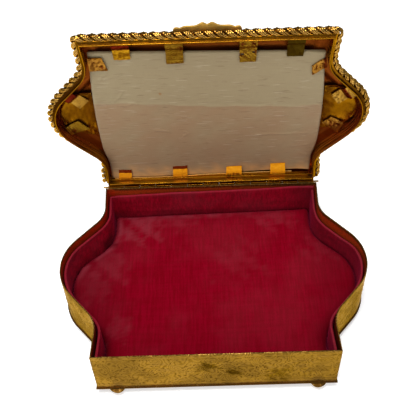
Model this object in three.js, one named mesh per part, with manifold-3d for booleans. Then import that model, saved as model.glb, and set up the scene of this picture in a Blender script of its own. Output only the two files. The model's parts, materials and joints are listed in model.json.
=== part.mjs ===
// Gilt brass jewelry casket with a cartouche plan: straight front and back, S-curved sides that
// swell into a round lobe. The lid stands open on a full-width pin hinge along the back wall.
// Millimetres, +Z up, +X to the right, the front faces -Y. The origin is the centre of the
// base plate's underside, and the four feet reach below it.
import * as THREE from 'three';
import { mergeVertices } from 'three/addons/utils/BufferGeometryUtils.js';
import Module from 'manifold-3d';

const wasm = await Module();
wasm.setup();

// ---------------------------------------------------------------- driving dimensions

// Plan, measured on the outside of the base wall.
const FRONT_WIDTH = 172;
const DEPTH = 156.4;
const LOBE_REACH = 114.7;
const LOBE_RADIUS = 38.4;
const LOBE_SWEEP = THREE.MathUtils.degToRad(41.5);
const NECK_RADIUS = 22.1;
const CORNER_FLARE = THREE.MathUtils.degToRad(2.8);
const ARC_STEPS = 5;

// Base.
const RIM_Z = 43.5;
const SHEET = 0.9;
const PLATE = 1.2;
const PLATE_OVERHANG = 1;
const GAP = 0.3;

// Feet.
const FOOT_X = 72.5;
const FOOT_Y = 76.8;
const FOOT_HEIGHT = 6.6;
const FOOT_SIDES = 14;

// Velvet lining, which stands a little away from the wall.
const LINER = 1.8;
const LINER_STANDOFF = 1.4;
const LINER_DROP = 5;
const PAD_TOP = 15;
const PAD_ROLL = 2;

// Lid, with heights above the rim when it is closed.
const LID_OPEN = THREE.MathUtils.degToRad(83.1);
const SKIRT_INSET = 2.8;
const SKIRT_DROP = 1.8;
const LID_PLATE_Z = 8.3;
const FIELD_INSET = 11;
const FIELD_RISE = 1.6;
const FIELD_SLOPE = 2;

// Rope border.
const ROPE_RADIUS = 2.75;
const ROPE_WAIST = 1.7;
const ROPE_Z = 3.1;
const ROPE_OUT = 0.15;
const ROPE_BUMP = 6.5;
const ROPE_STEPS_PER_BUMP = 3;
const ROPE_CORNER = 4.5;
const ROPE_BACK_GAP = 1.5;

// Crest over the middle of the lid's front.
const CREST_X = 0.9;
const CREST_HALF = 22.4;
const CREST_Z = 6.2;
const CREST_THICK = 1.5;

// Silk-covered card, tabs and lobe plates inside the lid.
// The card's sides bow out between the necks: distances from its middle, as [y, half width].
const CARD_SIDE = [[-60, 79.6], [-50, 79.7], [-36, 81], [-18, 82.3], [2, 83], [24, 83], [38, 82.7], [47, 81.6],
  [57, 79.8], [74, 79.8]];
const CARD_FACE_Z = 5.8;
const CARD_THICK = 1.8;
const TAB_WIDTH = 11.8;
const TAB_THICK = 0.5;
const TAB_ROOT_Z = 2.6;
const TAB_TIP_Z = 4.2;
const LOBE_DISC_X = 86.5;
const LOBE_DISC_RADIUS = 22.8;
const LOBE_DISC_THICK = 0.8;

// Hinge.
const HINGE_OUT = 1.9;
const HINGE_DROP = 1.2;
const KNUCKLE_RADIUS = 1.45;
const BORE_RADIUS = 0.9;
const PIN_RADIUS = 0.65;
const BARREL_HALF = 84;
const PIN_HALF = 88;
const KNUCKLES = 13;
const LEAF = 0.7;
const LEAF_DROP = 8;

// Chased scrolls on the outside of the base wall.
const SCROLL_PITCH = 31;
const SCROLL_RADIUS = 12;
const SCROLL_TURNS = 1.15;
const SCROLL_STEPS = 8;
const RIDGE_WIDTH = 1.8;
const RIDGE_HEIGHT = 0.45;
const RIDGE_ROOT = 0.3;

// ---------------------------------------------------------------- values worked out from them

const HALF_DEPTH = DEPTH / 2;
const HINGE_Y = HALF_DEPTH + HINGE_OUT;
const HINGE_Z = RIM_Z - HINGE_DROP;
const LINER_OUTER = SHEET + LINER_STANDOFF;
const LINER_INNER = LINER_OUTER + LINER;
const LINER_BASE = PLATE + GAP;
const LOBE_CENTRE_X = LOBE_REACH - LOBE_RADIUS;
const SKIRT_INNER = SKIRT_INSET + SHEET;

// The straight run between lobe and neck closes the outline on the corner.
function neckRun() {
  const [sin, cos] = [Math.sin(LOBE_SWEEP), Math.cos(LOBE_SWEEP)];
  const [flareSin, flareCos] = [Math.sin(CORNER_FLARE), Math.cos(CORNER_FLARE)];
  const flare = flareSin / flareCos;
  const lobeEndX = LOBE_REACH - LOBE_RADIUS * (1 - cos);
  const lobeEndY = LOBE_RADIUS * sin;
  const across = lobeEndX - NECK_RADIUS * (flareCos - cos) - FRONT_WIDTH / 2;
  const along = HALF_DEPTH - lobeEndY - NECK_RADIUS * (sin + flareSin);
  return (across + flare * along) / (sin + flare * cos);
}

const NECK_CENTRE = new THREE.Vector2(Math.cos(LOBE_SWEEP), Math.sin(LOBE_SWEEP))
  .multiplyScalar(LOBE_RADIUS + NECK_RADIUS)
  .add(new THREE.Vector2(-Math.sin(LOBE_SWEEP), Math.cos(LOBE_SWEEP)).multiplyScalar(neckRun()))
  .add(new THREE.Vector2(LOBE_CENTRE_X, 0));

// ---------------------------------------------------------------- plan outline

// X on the flared straight beside a corner, at the given distance from the middle of the depth.
function flareX(inset, y) {
  const radius = NECK_RADIUS + inset;
  const startX = NECK_CENTRE.x - radius * Math.cos(CORNER_FLARE);
  const startY = NECK_CENTRE.y + radius * Math.sin(CORNER_FLARE);
  return startX + (y - startY) * Math.tan(CORNER_FLARE);
}

function corner(inset) {
  const y = HALF_DEPTH - inset;
  return new THREE.Vector2(flareX(inset, y), y);
}

// One S-curved side: a neck arc, the lobe and the other neck arc, running from front to back.
// Turned by half a circle it is the left side, running from back to front.
function addSide(path, inset, turn) {
  const sign = Math.cos(turn);
  const radius = NECK_RADIUS + inset;
  const neck = (y, from, to) => path.absarc(
    sign * NECK_CENTRE.x, sign * y, radius, from + turn, to + turn, true);
  path.lineTo(
    sign * (NECK_CENTRE.x - radius * Math.cos(CORNER_FLARE)),
    sign * (-NECK_CENTRE.y - radius * Math.sin(CORNER_FLARE)));
  neck(-NECK_CENTRE.y, Math.PI + CORNER_FLARE, Math.PI - LOBE_SWEEP);
  path.absarc(sign * LOBE_CENTRE_X, 0, LOBE_RADIUS - inset, turn - LOBE_SWEEP, turn + LOBE_SWEEP, false);
  neck(NECK_CENTRE.y, Math.PI + LOBE_SWEEP, Math.PI - CORNER_FLARE);
}

// Leaves out a point that repeats the one before it, where one curve hands over to the next.
function separate(points) {
  return points.filter((point, i) => i === 0 || point.distanceTo(points[i - 1]) > 1e-4);
}

function cartouche(inset) {
  const { x, y } = corner(inset);
  const path = new THREE.Path();
  path.moveTo(x, -y);
  addSide(path, inset, 0);
  path.lineTo(x, y);
  path.lineTo(-x, y);
  addSide(path, inset, Math.PI);
  path.lineTo(-x, -y);
  return separate(path.getPoints(ARC_STEPS));
}

// ---------------------------------------------------------------- solids

// Closed solid through a list of rings with equal point counts. Without caps the last ring
// joins the first, which makes a wall that runs all the way round.
function loft(rings, caps = true) {
  const count = rings[0].points.length;
  const vertices = rings.flatMap(({ points, z }) => points.flatMap((p) => [p.x, p.y, z]));
  const index = [];
  const bands = caps ? rings.length - 1 : rings.length;
  for (let band = 0; band < bands; band += 1) {
    const low = band * count;
    const high = ((band + 1) % rings.length) * count;
    for (let i = 0; i < count; i += 1) {
      const next = (i + 1) % count;
      index.push(low + i, low + next, high + next, low + i, high + next, high + i);
    }
  }
  if (caps) {
    const top = (rings.length - 1) * count;
    const first = THREE.ShapeUtils.triangulateShape(rings[0].points, []);
    const last = THREE.ShapeUtils.triangulateShape(rings.at(-1).points, []);
    first.forEach(([a, b, c]) => index.push(a, c, b));
    last.forEach(([a, b, c]) => index.push(top + a, top + b, top + c));
  }
  const geometry = new THREE.BufferGeometry();
  geometry.setAttribute('position', new THREE.Float32BufferAttribute(vertices, 3));
  geometry.setIndex(index);
  return geometry;
}

function slab(points, bottom, thickness) {
  return loft([{ points, z: bottom }, { points, z: bottom + thickness }]);
}

// Thin wall that follows the plan, between two insets and two heights.
function band(outerInset, innerInset, bottom, top) {
  const outer = cartouche(outerInset);
  const inner = cartouche(innerInset);
  return loft([
    { points: outer, z: bottom },
    { points: outer, z: top },
    { points: inner, z: top },
    { points: inner, z: bottom },
  ], false);
}

function box(minX, maxX, minY, maxY, minZ, maxZ) {
  const geometry = new THREE.BoxGeometry(maxX - minX, maxY - minY, maxZ - minZ);
  return geometry.translate((minX + maxX) / 2, (minY + maxY) / 2, (minZ + maxZ) / 2);
}

function toSolid(geometry) {
  const bare = geometry.clone();
  bare.deleteAttribute('normal');
  bare.deleteAttribute('uv');
  const merged = mergeVertices(bare);
  return new wasm.Manifold(new wasm.Mesh({
    numProp: 3,
    vertProperties: new Float32Array(merged.attributes.position.array),
    triVerts: new Uint32Array(merged.index.array),
  }));
}

function toGeometry(solid) {
  const mesh = solid.getMesh();
  const geometry = new THREE.BufferGeometry();
  geometry.setAttribute('position', new THREE.BufferAttribute(mesh.vertProperties, 3));
  geometry.setIndex(new THREE.BufferAttribute(mesh.triVerts, 1));
  return geometry;
}

function join(geometries) {
  const [first, ...others] = geometries.map(toSolid);
  return toGeometry(others.reduce((whole, piece) => whole.add(piece), first));
}

// ---------------------------------------------------------------- materials and nodes

function material(color, roughness, metalness) {
  return new THREE.MeshStandardMaterial({ color, roughness, metalness });
}

const brass = material(0xb08a2e, 0.35, 1);
const darkBrass = material(0x6d5220, 0.5, 1);
const velvet = material(0x7a0f24, 0.95, 0);
const silk = material(0xc3b393, 0.7, 0);

const casket = new THREE.Group();
const lid = new THREE.Group();
lid.position.set(0, HINGE_Y, HINGE_Z);
lid.rotation.x = -LID_OPEN;
casket.add(lid);

function addMesh(parent, name, geometry, finish) {
  const mesh = new THREE.Mesh(geometry, finish);
  mesh.name = name;
  parent.add(mesh);
  return mesh;
}

// Lid pieces are drawn in the closed position and then moved to the hinge's own frame.
function addLidMesh(name, geometry, finish) {
  return addMesh(lid, name, geometry.translate(0, -HINGE_Y, -HINGE_Z), finish);
}

// ---------------------------------------------------------------- base

// Distance along the outline, height and standing-out turned into a point on the wall.
function wallPoint(outline, distance, z, out) {
  let left = distance;
  for (let i = 0; i < outline.length; i += 1) {
    const start = outline[i];
    const along = outline[(i + 1) % outline.length].clone().sub(start);
    const length = along.length();
    if (left <= length) {
      along.divideScalar(length);
      return [start.x + along.x * left + along.y * out, start.y + along.y * left - along.x * out, z];
    }
    left -= length;
  }
  throw new RangeError('the distance is longer than the outline');
}

// Raised stem of triangular section that follows a line drawn on the unrolled wall.
function ridge(outline, line) {
  const section = line.flatMap((point, i) => {
    const before = line[Math.max(i - 1, 0)];
    const after = line[Math.min(i + 1, line.length - 1)];
    const across = after.clone().sub(before).normalize().multiplyScalar(RIDGE_WIDTH / 2);
    const taper = 1 - 0.6 * (i / (line.length - 1));
    const edge = (side) => [point.x - side * across.y * taper, point.y + side * across.x * taper];
    return [
      wallPoint(outline, ...edge(1), -RIDGE_ROOT),
      wallPoint(outline, point.x, point.y, RIDGE_HEIGHT),
      wallPoint(outline, ...edge(-1), -RIDGE_ROOT),
    ].flat();
  });
  const last = (line.length - 1) * 3;
  const index = [0, 2, 1, last, last + 1, last + 2];
  for (let i = 0; i < line.length - 1; i += 1) {
    const row = i * 3;
    for (let side = 0; side < 3; side += 1) {
      const next = (side + 1) % 3;
      index.push(row + side, row + 3 + next, row + 3 + side, row + side, row + next, row + 3 + next);
    }
  }
  const geometry = new THREE.BufferGeometry();
  geometry.setAttribute('position', new THREE.Float32BufferAttribute(section, 3));
  geometry.setIndex(index);
  return geometry;
}

// C-scroll that winds inwards from its stem, turning up or down by its sign.
function scroll(centre, sign) {
  const middle = (PLATE + RIM_Z) / 2;
  return Array.from({ length: SCROLL_STEPS + 1 }, (_, step) => {
    const share = step / SCROLL_STEPS;
    const radius = SCROLL_RADIUS * (1 - 0.72 * share);
    const angle = Math.PI * (1 + 2 * SCROLL_TURNS * share);
    return new THREE.Vector2(centre + radius * Math.cos(angle), middle - sign * radius * Math.sin(angle));
  });
}

function addBase() {
  const outline = cartouche(0);
  const lengths = outline.map((point, i) => point.distanceTo(outline[(i + 1) % outline.length]));
  const total = lengths.reduce((sum, length) => sum + length, 0);
  const sideLength = total / 2 - FRONT_WIDTH;
  const panels = [
    { middle: sideLength / 2, count: 3 },
    { middle: sideLength + FRONT_WIDTH / 2, count: 5 },
    { middle: sideLength * 1.5 + FRONT_WIDTH, count: 3 },
    { middle: total - FRONT_WIDTH / 2, count: 5 },
  ];
  const scrolls = panels.flatMap(({ middle, count }) => Array.from({ length: count }, (_, i) => {
    const place = middle + (i - (count - 1) / 2) * SCROLL_PITCH;
    return ridge(outline, scroll(place, i % 2 ? 1 : -1));
  }));
  addMesh(casket, 'base_wall', join([band(0, SHEET, PLATE, RIM_Z), ...scrolls]), brass);
  addMesh(casket, 'base_plate', slab(cartouche(-PLATE_OVERHANG), 0, PLATE), darkBrass);
}

function addFeet() {
  const profile = [
    [0, 0], [6.8, 0], [5.9, 0.9], [5, 2], [5.2, 3.4], [4.7, 4.8], [3.6, 6], [2.6, FOOT_HEIGHT], [0, FOOT_HEIGHT],
  ].map(([radius, drop]) => new THREE.Vector2(radius, -drop)).reverse();
  for (const [end, y] of [['front', -FOOT_Y], ['back', FOOT_Y]]) {
    for (const [side, x] of [['left', -FOOT_X], ['right', FOOT_X]]) {
      const geometry = new THREE.LatheGeometry(profile, FOOT_SIDES).rotateX(Math.PI / 2);
      addMesh(casket, `foot_${end}_${side}`, geometry, brass).position.set(x, y, 0);
    }
  }
}

// Card strip inside one curved side, cut short by the strips along front and back.
function sideStrip(turn) {
  const endY = HALF_DEPTH - LINER_INNER - GAP;
  const edge = (inset) => {
    const endX = Math.cos(turn) * flareX(inset, endY);
    const path = new THREE.Path();
    path.moveTo(endX, -Math.cos(turn) * endY);
    addSide(path, inset, turn);
    path.lineTo(endX, Math.cos(turn) * endY);
    return separate(path.getPoints(ARC_STEPS));
  };
  return [...edge(LINER_OUTER), ...edge(LINER_INNER).reverse()];
}

function addLining() {
  const top = RIM_Z - LINER_DROP;
  const endX = corner(LINER_OUTER).x - GAP;
  const outerY = HALF_DEPTH - LINER_OUTER;
  const innerY = HALF_DEPTH - LINER_INNER;
  addMesh(casket, 'liner_front', box(-endX, endX, -outerY, -innerY, LINER_BASE, top), velvet);
  addMesh(casket, 'liner_back', box(-endX, endX, innerY, outerY, LINER_BASE, top), velvet);
  addMesh(casket, 'liner_right', slab(sideStrip(0), LINER_BASE, top - LINER_BASE), velvet);
  addMesh(casket, 'liner_left', slab(sideStrip(Math.PI), LINER_BASE, top - LINER_BASE), velvet);
  const edge = LINER_INNER + GAP;
  addMesh(casket, 'floor_pad', loft([
    { points: cartouche(edge), z: LINER_BASE },
    { points: cartouche(edge), z: PAD_TOP - PAD_ROLL },
    { points: cartouche(edge + PAD_ROLL), z: PAD_TOP },
  ]), velvet);
}

// ---------------------------------------------------------------- hinge

// Ring round the pin, drawn across the hinge and drawn out along X.
function knuckle(start, length) {
  const ring = new THREE.Shape().absarc(0, 0, KNUCKLE_RADIUS, 0, 2 * Math.PI, false);
  ring.holes.push(new THREE.Path().absarc(0, 0, BORE_RADIUS, 0, 2 * Math.PI, true));
  const geometry = new THREE.ExtrudeGeometry(ring, { depth: length, bevelEnabled: false, curveSegments: 5 });
  return geometry.rotateZ(Math.PI / 2).rotateY(Math.PI / 2).translate(start, HINGE_Y, HINGE_Z);
}

function knuckleRow(first) {
  const pitch = (2 * BARREL_HALF + GAP) / KNUCKLES;
  const row = [];
  for (let i = first; i < KNUCKLES; i += 2) {
    row.push(knuckle(-BARREL_HALF + i * pitch, pitch - GAP));
  }
  return row;
}

// The base leaf hangs behind the wall, and a short foot on it carries each knuckle.
function addHinge() {
  const pitch = (2 * BARREL_HALF + GAP) / KNUCKLES;
  const leafBack = HALF_DEPTH + GAP + LEAF;
  const underBarrel = HINGE_Z - BORE_RADIUS - GAP / 2;
  const baseLeaf = box(-BARREL_HALF, BARREL_HALF, HALF_DEPTH + GAP, leafBack,
    RIM_Z - LEAF_DROP, HINGE_Z - KNUCKLE_RADIUS - GAP);
  const baseFeet = knuckleRow(0).map((_, i) => box(
    -BARREL_HALF + 2 * i * pitch, -BARREL_HALF + 2 * i * pitch + pitch - GAP,
    HALF_DEPTH + GAP, HINGE_Y, underBarrel - LEAF, underBarrel));
  addMesh(casket, 'hinge_leaf_base', join([baseLeaf, ...baseFeet, ...knuckleRow(0)]), brass);

  const leafLow = HINGE_Z + KNUCKLE_RADIUS + GAP;
  const lidLeaf = box(-BARREL_HALF, BARREL_HALF, HALF_DEPTH - SKIRT_INSET + GAP, HINGE_Y + LEAF,
    leafLow, leafLow + LEAF);
  const lidFeet = knuckleRow(1).map((_, i) => box(
    -BARREL_HALF + (2 * i + 1) * pitch, -BARREL_HALF + (2 * i + 2) * pitch - GAP,
    HINGE_Y, HINGE_Y + LEAF, HINGE_Z + BORE_RADIUS + GAP / 2, leafLow + LEAF / 2));
  addLidMesh('hinge_leaf_lid', join([lidLeaf, ...lidFeet, ...knuckleRow(1)]), brass);

  const pin = new THREE.CylinderGeometry(PIN_RADIUS, PIN_RADIUS, 2 * PIN_HALF, 10).rotateZ(Math.PI / 2);
  addMesh(casket, 'hinge_pin', pin, brass).position.set(0, HINGE_Y, HINGE_Z);
}

// ---------------------------------------------------------------- lid

function addLidShell() {
  const plateZ = RIM_Z + LID_PLATE_Z;
  addLidMesh('lid_skirt', band(SKIRT_INSET, SKIRT_INNER, RIM_Z - SKIRT_DROP, plateZ - GAP), brass);
  const slopeTop = FIELD_INSET + FIELD_SLOPE;
  addLidMesh('lid_plate', loft([
    { points: cartouche(slopeTop + SHEET), z: plateZ + FIELD_RISE },
    { points: cartouche(FIELD_INSET + SHEET), z: plateZ },
    { points: cartouche(SKIRT_INSET), z: plateZ },
    { points: cartouche(SKIRT_INSET), z: plateZ + SHEET },
    { points: cartouche(FIELD_INSET), z: plateZ + SHEET },
    { points: cartouche(slopeTop), z: plateZ + SHEET + FIELD_RISE },
  ]), brass);
}

// Line of the rope's centre: up the left side, round the front and up the right side.
function ropePath() {
  const inset = -ROPE_OUT;
  const { x, y } = corner(inset);
  const endY = HALF_DEPTH - ROPE_BACK_GAP;
  const path = new THREE.Path();
  path.moveTo(-flareX(inset, endY), endY);
  addSide(path, inset, Math.PI);
  path.lineTo(-x, -y + ROPE_CORNER);
  path.quadraticCurveTo(-x, -y, -x + ROPE_CORNER, -y);
  path.lineTo(x - ROPE_CORNER, -y);
  path.quadraticCurveTo(x, -y, x, -y + ROPE_CORNER);
  addSide(path, inset, 0);
  path.lineTo(flareX(inset, endY), endY);
  return path;
}

// Twisted border: a flattened six-sided section that makes half a turn for each bump.
function ropeGeometry() {
  const path = ropePath();
  const bumps = Math.round(path.getLength() / ROPE_BUMP);
  const steps = bumps * ROPE_STEPS_PER_BUMP;
  const sides = 6;
  const vertices = [];
  const index = [];
  for (let step = 0; step <= steps; step += 1) {
    const centre = path.getPointAt(step / steps);
    const tangent = path.getTangentAt(step / steps);
    const twist = (step / ROPE_STEPS_PER_BUMP) * Math.PI;
    for (let side = 0; side < sides; side += 1) {
      const around = (side / sides) * 2 * Math.PI;
      const radius = side % 3 === 0 ? ROPE_RADIUS : ROPE_WAIST;
      const out = radius * Math.cos(around + twist);
      const up = radius * Math.sin(around + twist);
      vertices.push(centre.x + tangent.y * out, centre.y - tangent.x * out, RIM_Z + ROPE_Z + up);
    }
  }
  for (let step = 0; step < steps; step += 1) {
    for (let side = 0; side < sides; side += 1) {
      const a = step * sides + side;
      const b = step * sides + ((side + 1) % sides);
      index.push(a, b + sides, b, a, a + sides, b + sides);
    }
  }
  const last = steps * sides;
  for (let side = 1; side < sides - 1; side += 1) {
    index.push(0, side, side + 1, last, last + side + 1, last + side);
  }
  const geometry = new THREE.BufferGeometry();
  geometry.setAttribute('position', new THREE.Float32BufferAttribute(vertices, 3));
  geometry.setIndex(index);
  return geometry;
}

// Scalloped leaf: two humps in the middle, a low shoulder and a knob on each side of them.
function crestGeometry() {
  const root = HALF_DEPTH - SKIRT_INSET + GAP;
  const half = new THREE.Path();
  half.moveTo(CREST_HALF, -root);
  half.lineTo(CREST_HALF, -HALF_DEPTH - 1);
  half.quadraticCurveTo(CREST_HALF - 1.4, -HALF_DEPTH - 5.2, CREST_HALF - 4.2, -HALF_DEPTH - 2.7);
  half.quadraticCurveTo(CREST_HALF - 6, -HALF_DEPTH - 5.2, CREST_HALF - 10.4, -HALF_DEPTH - 4.4);
  half.lineTo(7, -HALF_DEPTH - 4.6);
  half.quadraticCurveTo(2.9, -HALF_DEPTH - 9.2, 0, -HALF_DEPTH - 5.3);
  const right = half.getPoints(4);
  const left = right.slice(0, -1).reverse().map(({ x, y }) => new THREE.Vector2(-x, y));
  return slab([...right, ...left].reverse(), RIM_Z + CREST_Z, CREST_THICK).translate(CREST_X, 0, 0);
}

// Sheet strip that leaves the skirt, steps down and ends flat over what it holds.
function tabGeometry(length, width) {
  const half = width / 2;
  const root = RIM_Z + TAB_ROOT_Z;
  const tip = RIM_Z + TAB_TIP_Z;
  const side = [
    [0, root], [length * 0.3, root], [length * 0.45, tip], [length, tip],
    [length, tip + TAB_THICK], [length * 0.42, tip + TAB_THICK], [length * 0.27, root + TAB_THICK],
    [0, root + TAB_THICK],
  ].map(([x, y]) => new THREE.Vector2(x, y));
  const geometry = new THREE.ExtrudeGeometry(new THREE.Shape(side), { depth: 2 * half, bevelEnabled: false });
  return geometry.rotateX(Math.PI / 2).translate(0, half, 0);
}

// Each tab starts at a point beside the skirt and points along a heading over the card or lobe.
const TABS = [
  { name: 'tab_front_1', x: -57, y: -74, heading: 90, length: 17 },
  { name: 'tab_front_2', x: -21.5, y: -74, heading: 90, length: 22.5 },
  { name: 'tab_front_3', x: 27.6, y: -74, heading: 90, length: 23 },
  { name: 'tab_front_4', x: 59.2, y: -74, heading: 90, length: 18.7 },
  { name: 'tab_corner_left', x: -80, y: -53.5, heading: 0, length: 13.5 },
  { name: 'tab_corner_right', x: 78.5, y: -46.6, heading: 138.7, length: 9, width: 7 },
  { name: 'tab_back_1', x: -70, y: 74, heading: -90, length: 10.5 },
  { name: 'tab_back_2', x: -25, y: 74, heading: -90, length: 12 },
  { name: 'tab_back_3', x: 19.5, y: 74, heading: -90, length: 11.5 },
  { name: 'tab_back_4', x: 55, y: 74, heading: -90, length: 12.5 },
  { name: 'tab_lobe_left_front', x: -99.5, y: -22, heading: 42, length: 15 },
  { name: 'tab_lobe_left_back', x: -103, y: 16.5, heading: -32, length: 13.5 },
  { name: 'tab_lobe_right_front', x: 101.5, y: -20, heading: 131, length: 13 },
  { name: 'tab_lobe_right_back', x: 100, y: 21.5, heading: -142, length: 13 },
];

function addLidFittings() {
  const cardSides = [1, -1].map((sign) => CARD_SIDE.map(([y, half]) => new THREE.Vector2(sign * half, y)));
  const card = slab([...cardSides[0], ...cardSides[1].reverse()], RIM_Z + CARD_FACE_Z, CARD_THICK);
  addLidMesh('silk_card', card, silk);
  const cardHalf = Math.max(...CARD_SIDE.map(([, half]) => half));
  for (const [side, sign] of [['left', -1], ['right', 1]]) {
    const half = Math.asin((LOBE_DISC_X - cardHalf - GAP) / LOBE_DISC_RADIUS) + Math.PI / 2;
    const plate = new THREE.Shape();
    plate.absarc(sign * LOBE_DISC_X, 0, LOBE_DISC_RADIUS,
      sign > 0 ? -half : Math.PI - half, sign > 0 ? half : Math.PI + half, false);
    const points = plate.getPoints(8);
    const bottom = RIM_Z + LID_PLATE_Z - GAP - LOBE_DISC_THICK;
    addLidMesh(`lobe_plate_${side}`, slab(points, bottom, LOBE_DISC_THICK), brass);
  }
  for (const { name, x, y, heading, length, width = TAB_WIDTH } of TABS) {
    const geometry = tabGeometry(length, width).rotateZ(THREE.MathUtils.degToRad(heading)).translate(x, y, 0);
    addLidMesh(name, geometry, brass);
  }
}

addBase();
addFeet();
addLining();
addHinge();
addLidShell();
addLidMesh('lid_rope', ropeGeometry(), brass);
addLidMesh('crest', crestGeometry(), brass);
addLidFittings();

export default casket;
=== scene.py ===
"""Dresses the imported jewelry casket: chased gilt brass, crimson velvet and slub silk.

Sizes are in metres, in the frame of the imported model. Tables, and what their docstrings say so of, are in
millimetres. Lid pieces are drawn with the lid shut and then turned about the hinge to their place at rest.
"""

from __future__ import annotations

import json
import logging
import math
from collections.abc import Callable, Iterator, Sequence
from contextlib import contextmanager
from dataclasses import dataclass, field
from enum import Enum

import bpy
import numpy as np
from mathutils import Euler, Matrix, Vector

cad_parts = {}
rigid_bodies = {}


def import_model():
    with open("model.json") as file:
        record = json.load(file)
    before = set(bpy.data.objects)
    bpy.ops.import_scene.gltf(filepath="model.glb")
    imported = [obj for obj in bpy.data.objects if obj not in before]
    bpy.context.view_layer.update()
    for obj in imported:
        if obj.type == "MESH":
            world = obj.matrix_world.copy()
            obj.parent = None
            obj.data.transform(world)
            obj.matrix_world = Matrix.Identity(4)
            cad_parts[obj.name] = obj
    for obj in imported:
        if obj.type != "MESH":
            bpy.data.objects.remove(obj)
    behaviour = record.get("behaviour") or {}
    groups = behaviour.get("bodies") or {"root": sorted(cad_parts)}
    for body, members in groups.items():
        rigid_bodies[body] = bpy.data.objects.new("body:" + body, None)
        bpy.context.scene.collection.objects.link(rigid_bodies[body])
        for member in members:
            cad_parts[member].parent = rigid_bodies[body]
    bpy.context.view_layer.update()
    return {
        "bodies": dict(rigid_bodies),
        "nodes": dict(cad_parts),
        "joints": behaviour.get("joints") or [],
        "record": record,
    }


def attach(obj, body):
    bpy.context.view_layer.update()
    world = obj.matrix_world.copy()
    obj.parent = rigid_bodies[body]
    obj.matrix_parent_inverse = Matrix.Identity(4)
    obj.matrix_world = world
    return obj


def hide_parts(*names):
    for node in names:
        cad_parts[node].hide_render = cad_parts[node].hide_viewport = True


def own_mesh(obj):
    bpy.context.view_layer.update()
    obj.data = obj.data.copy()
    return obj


LOG = logging.getLogger("casket")
MM = 0.001
SEED = 7
RIM = 43.5 * MM
SAME_PLACE = 1e-6
BLOCK = 4000

Table = tuple[tuple[float, ...], ...]
Colour = tuple[float, float, float]
Socket = bpy.types.NodeSocket
Piece = bpy.types.Object
Array = np.ndarray


class Slot(Enum):
    """Material slots of the record."""

    GILT = "gilt_brass"
    ROPE = "rope_brass"
    MATTE = "matte_brass"
    TAB = "tab_brass"
    DARK = "dark_brass"
    VELVET = "crimson_velvet"
    SILK = "slub_silk"


class Body(Enum):
    """Rigid bodies of the casket."""

    BASE = "base"
    LID = "lid"


# ---------------------------------------------------------------- bench: tools that shape a mesh


def lone(piece: Piece) -> None:
    """Makes a piece the only selected and active one.

    Args:
        piece: The piece.
    """
    bpy.ops.object.select_all(action="DESELECT")
    piece.select_set(True)
    bpy.context.view_layer.objects.active = piece


@contextmanager
def editing(piece: Piece, mode: str = "FACE", everything: bool = True) -> Iterator[None]:
    """Opens a piece in edit mode.

    Args:
        piece: The mesh to work on.
        mode: VERT, EDGE or FACE.
        everything: Whether all of it is selected first, or what was selected before stays so.
    """
    lone(piece)
    bpy.ops.object.mode_set(mode="EDIT")
    bpy.ops.mesh.select_mode(type=mode)
    if everything:
        bpy.ops.mesh.select_all(action="SELECT")
    yield
    bpy.ops.object.mode_set(mode="OBJECT")


def with_modifier(piece: Piece, kind: str, **settings: object) -> None:
    """Adds one modifier to a piece and applies it.

    Args:
        piece: The mesh to change.
        kind: The modifier's type, such as SOLIDIFY.
        settings: Values for the modifier's properties.
    """
    modifier = piece.modifiers.new(kind.title(), kind)
    for name, value in settings.items():
        setattr(modifier, name, value)
    lone(piece)
    bpy.ops.object.modifier_apply(modifier=modifier.name)


def settle(piece: Piece) -> None:
    """Moves a piece's place, turn and scale into its mesh."""
    lone(piece)
    bpy.ops.object.transform_apply(location=True, rotation=True, scale=True)


def added(name: str, add: Callable[..., object], **settings: object) -> Piece:
    """Adds a primitive by itself, with its place, turn and size in its mesh.

    Args:
        name: Name of the piece.
        add: The operator that adds it.
        settings: The operator's values.

    Returns:
        The new mesh object.
    """
    bpy.ops.object.select_all(action="DESELECT")
    add(**settings)
    piece = bpy.context.object
    piece.name = name
    settle(piece)
    return piece


def points_of(piece: Piece) -> Array:
    """Reads the points of a piece.

    Args:
        piece: The mesh.

    Returns:
        The points as (count, 3).
    """
    points = np.zeros(len(piece.data.vertices) * 3, np.float32)
    piece.data.vertices.foreach_get("co", points)
    return points.reshape(-1, 3).astype(float)


def move_points(piece: Piece, points: Array) -> None:
    """Writes the points of a piece."""
    piece.data.vertices.foreach_set("co", points.astype(np.float32).ravel())
    piece.data.update()


def mark(piece: Piece, name: str, values: Array | float) -> None:
    """Writes a number on each point of a piece, for its material to read.

    Args:
        piece: The mesh.
        name: The wear, stain or tint mark; the wear and stain marks carry painted light and shade as well.
        values: One number for each point, or one for all.
    """
    count = len(piece.data.vertices)
    attribute = piece.data.attributes.get(name) or piece.data.attributes.new(name, "FLOAT", "POINT")
    attribute.data.foreach_set("value", np.full(count, values, np.float32))


def by_table(piece: Piece, table: Array, rest: float = 0.0) -> Array:
    """Lists a table of values, row after row across, for the points of a piece.

    A sheet_of piece has its points in this order. A shell_of piece doesn't quite: merging its doubled points
    renumbers them, and there the values land about half of the piece further along.

    Args:
        piece: The mesh.
        table: Values as (along, across).
        rest: Value for points past the table's end.

    Returns:
        One value for each point.
    """
    values = np.full(len(piece.data.vertices), rest)
    order = table.T.ravel()[: len(values)]
    values[: len(order)] = order
    return values


def sheet_of(name: str, surface: Array) -> Piece:
    """Bends a grid primitive into a surface.

    Args:
        name: Name of the piece.
        surface: Points as (along, across, xyz).

    Returns:
        The new mesh object, with a UV map that runs from 0 to 1 along and across.
    """
    along, across = surface.shape[:2]
    grid = bpy.ops.mesh.primitive_grid_add
    piece = added(name, grid, x_subdivisions=along - 1, y_subdivisions=across - 1, size=2)
    move_points(piece, surface.transpose(1, 0, 2).reshape(-1, 3))
    return piece


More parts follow.
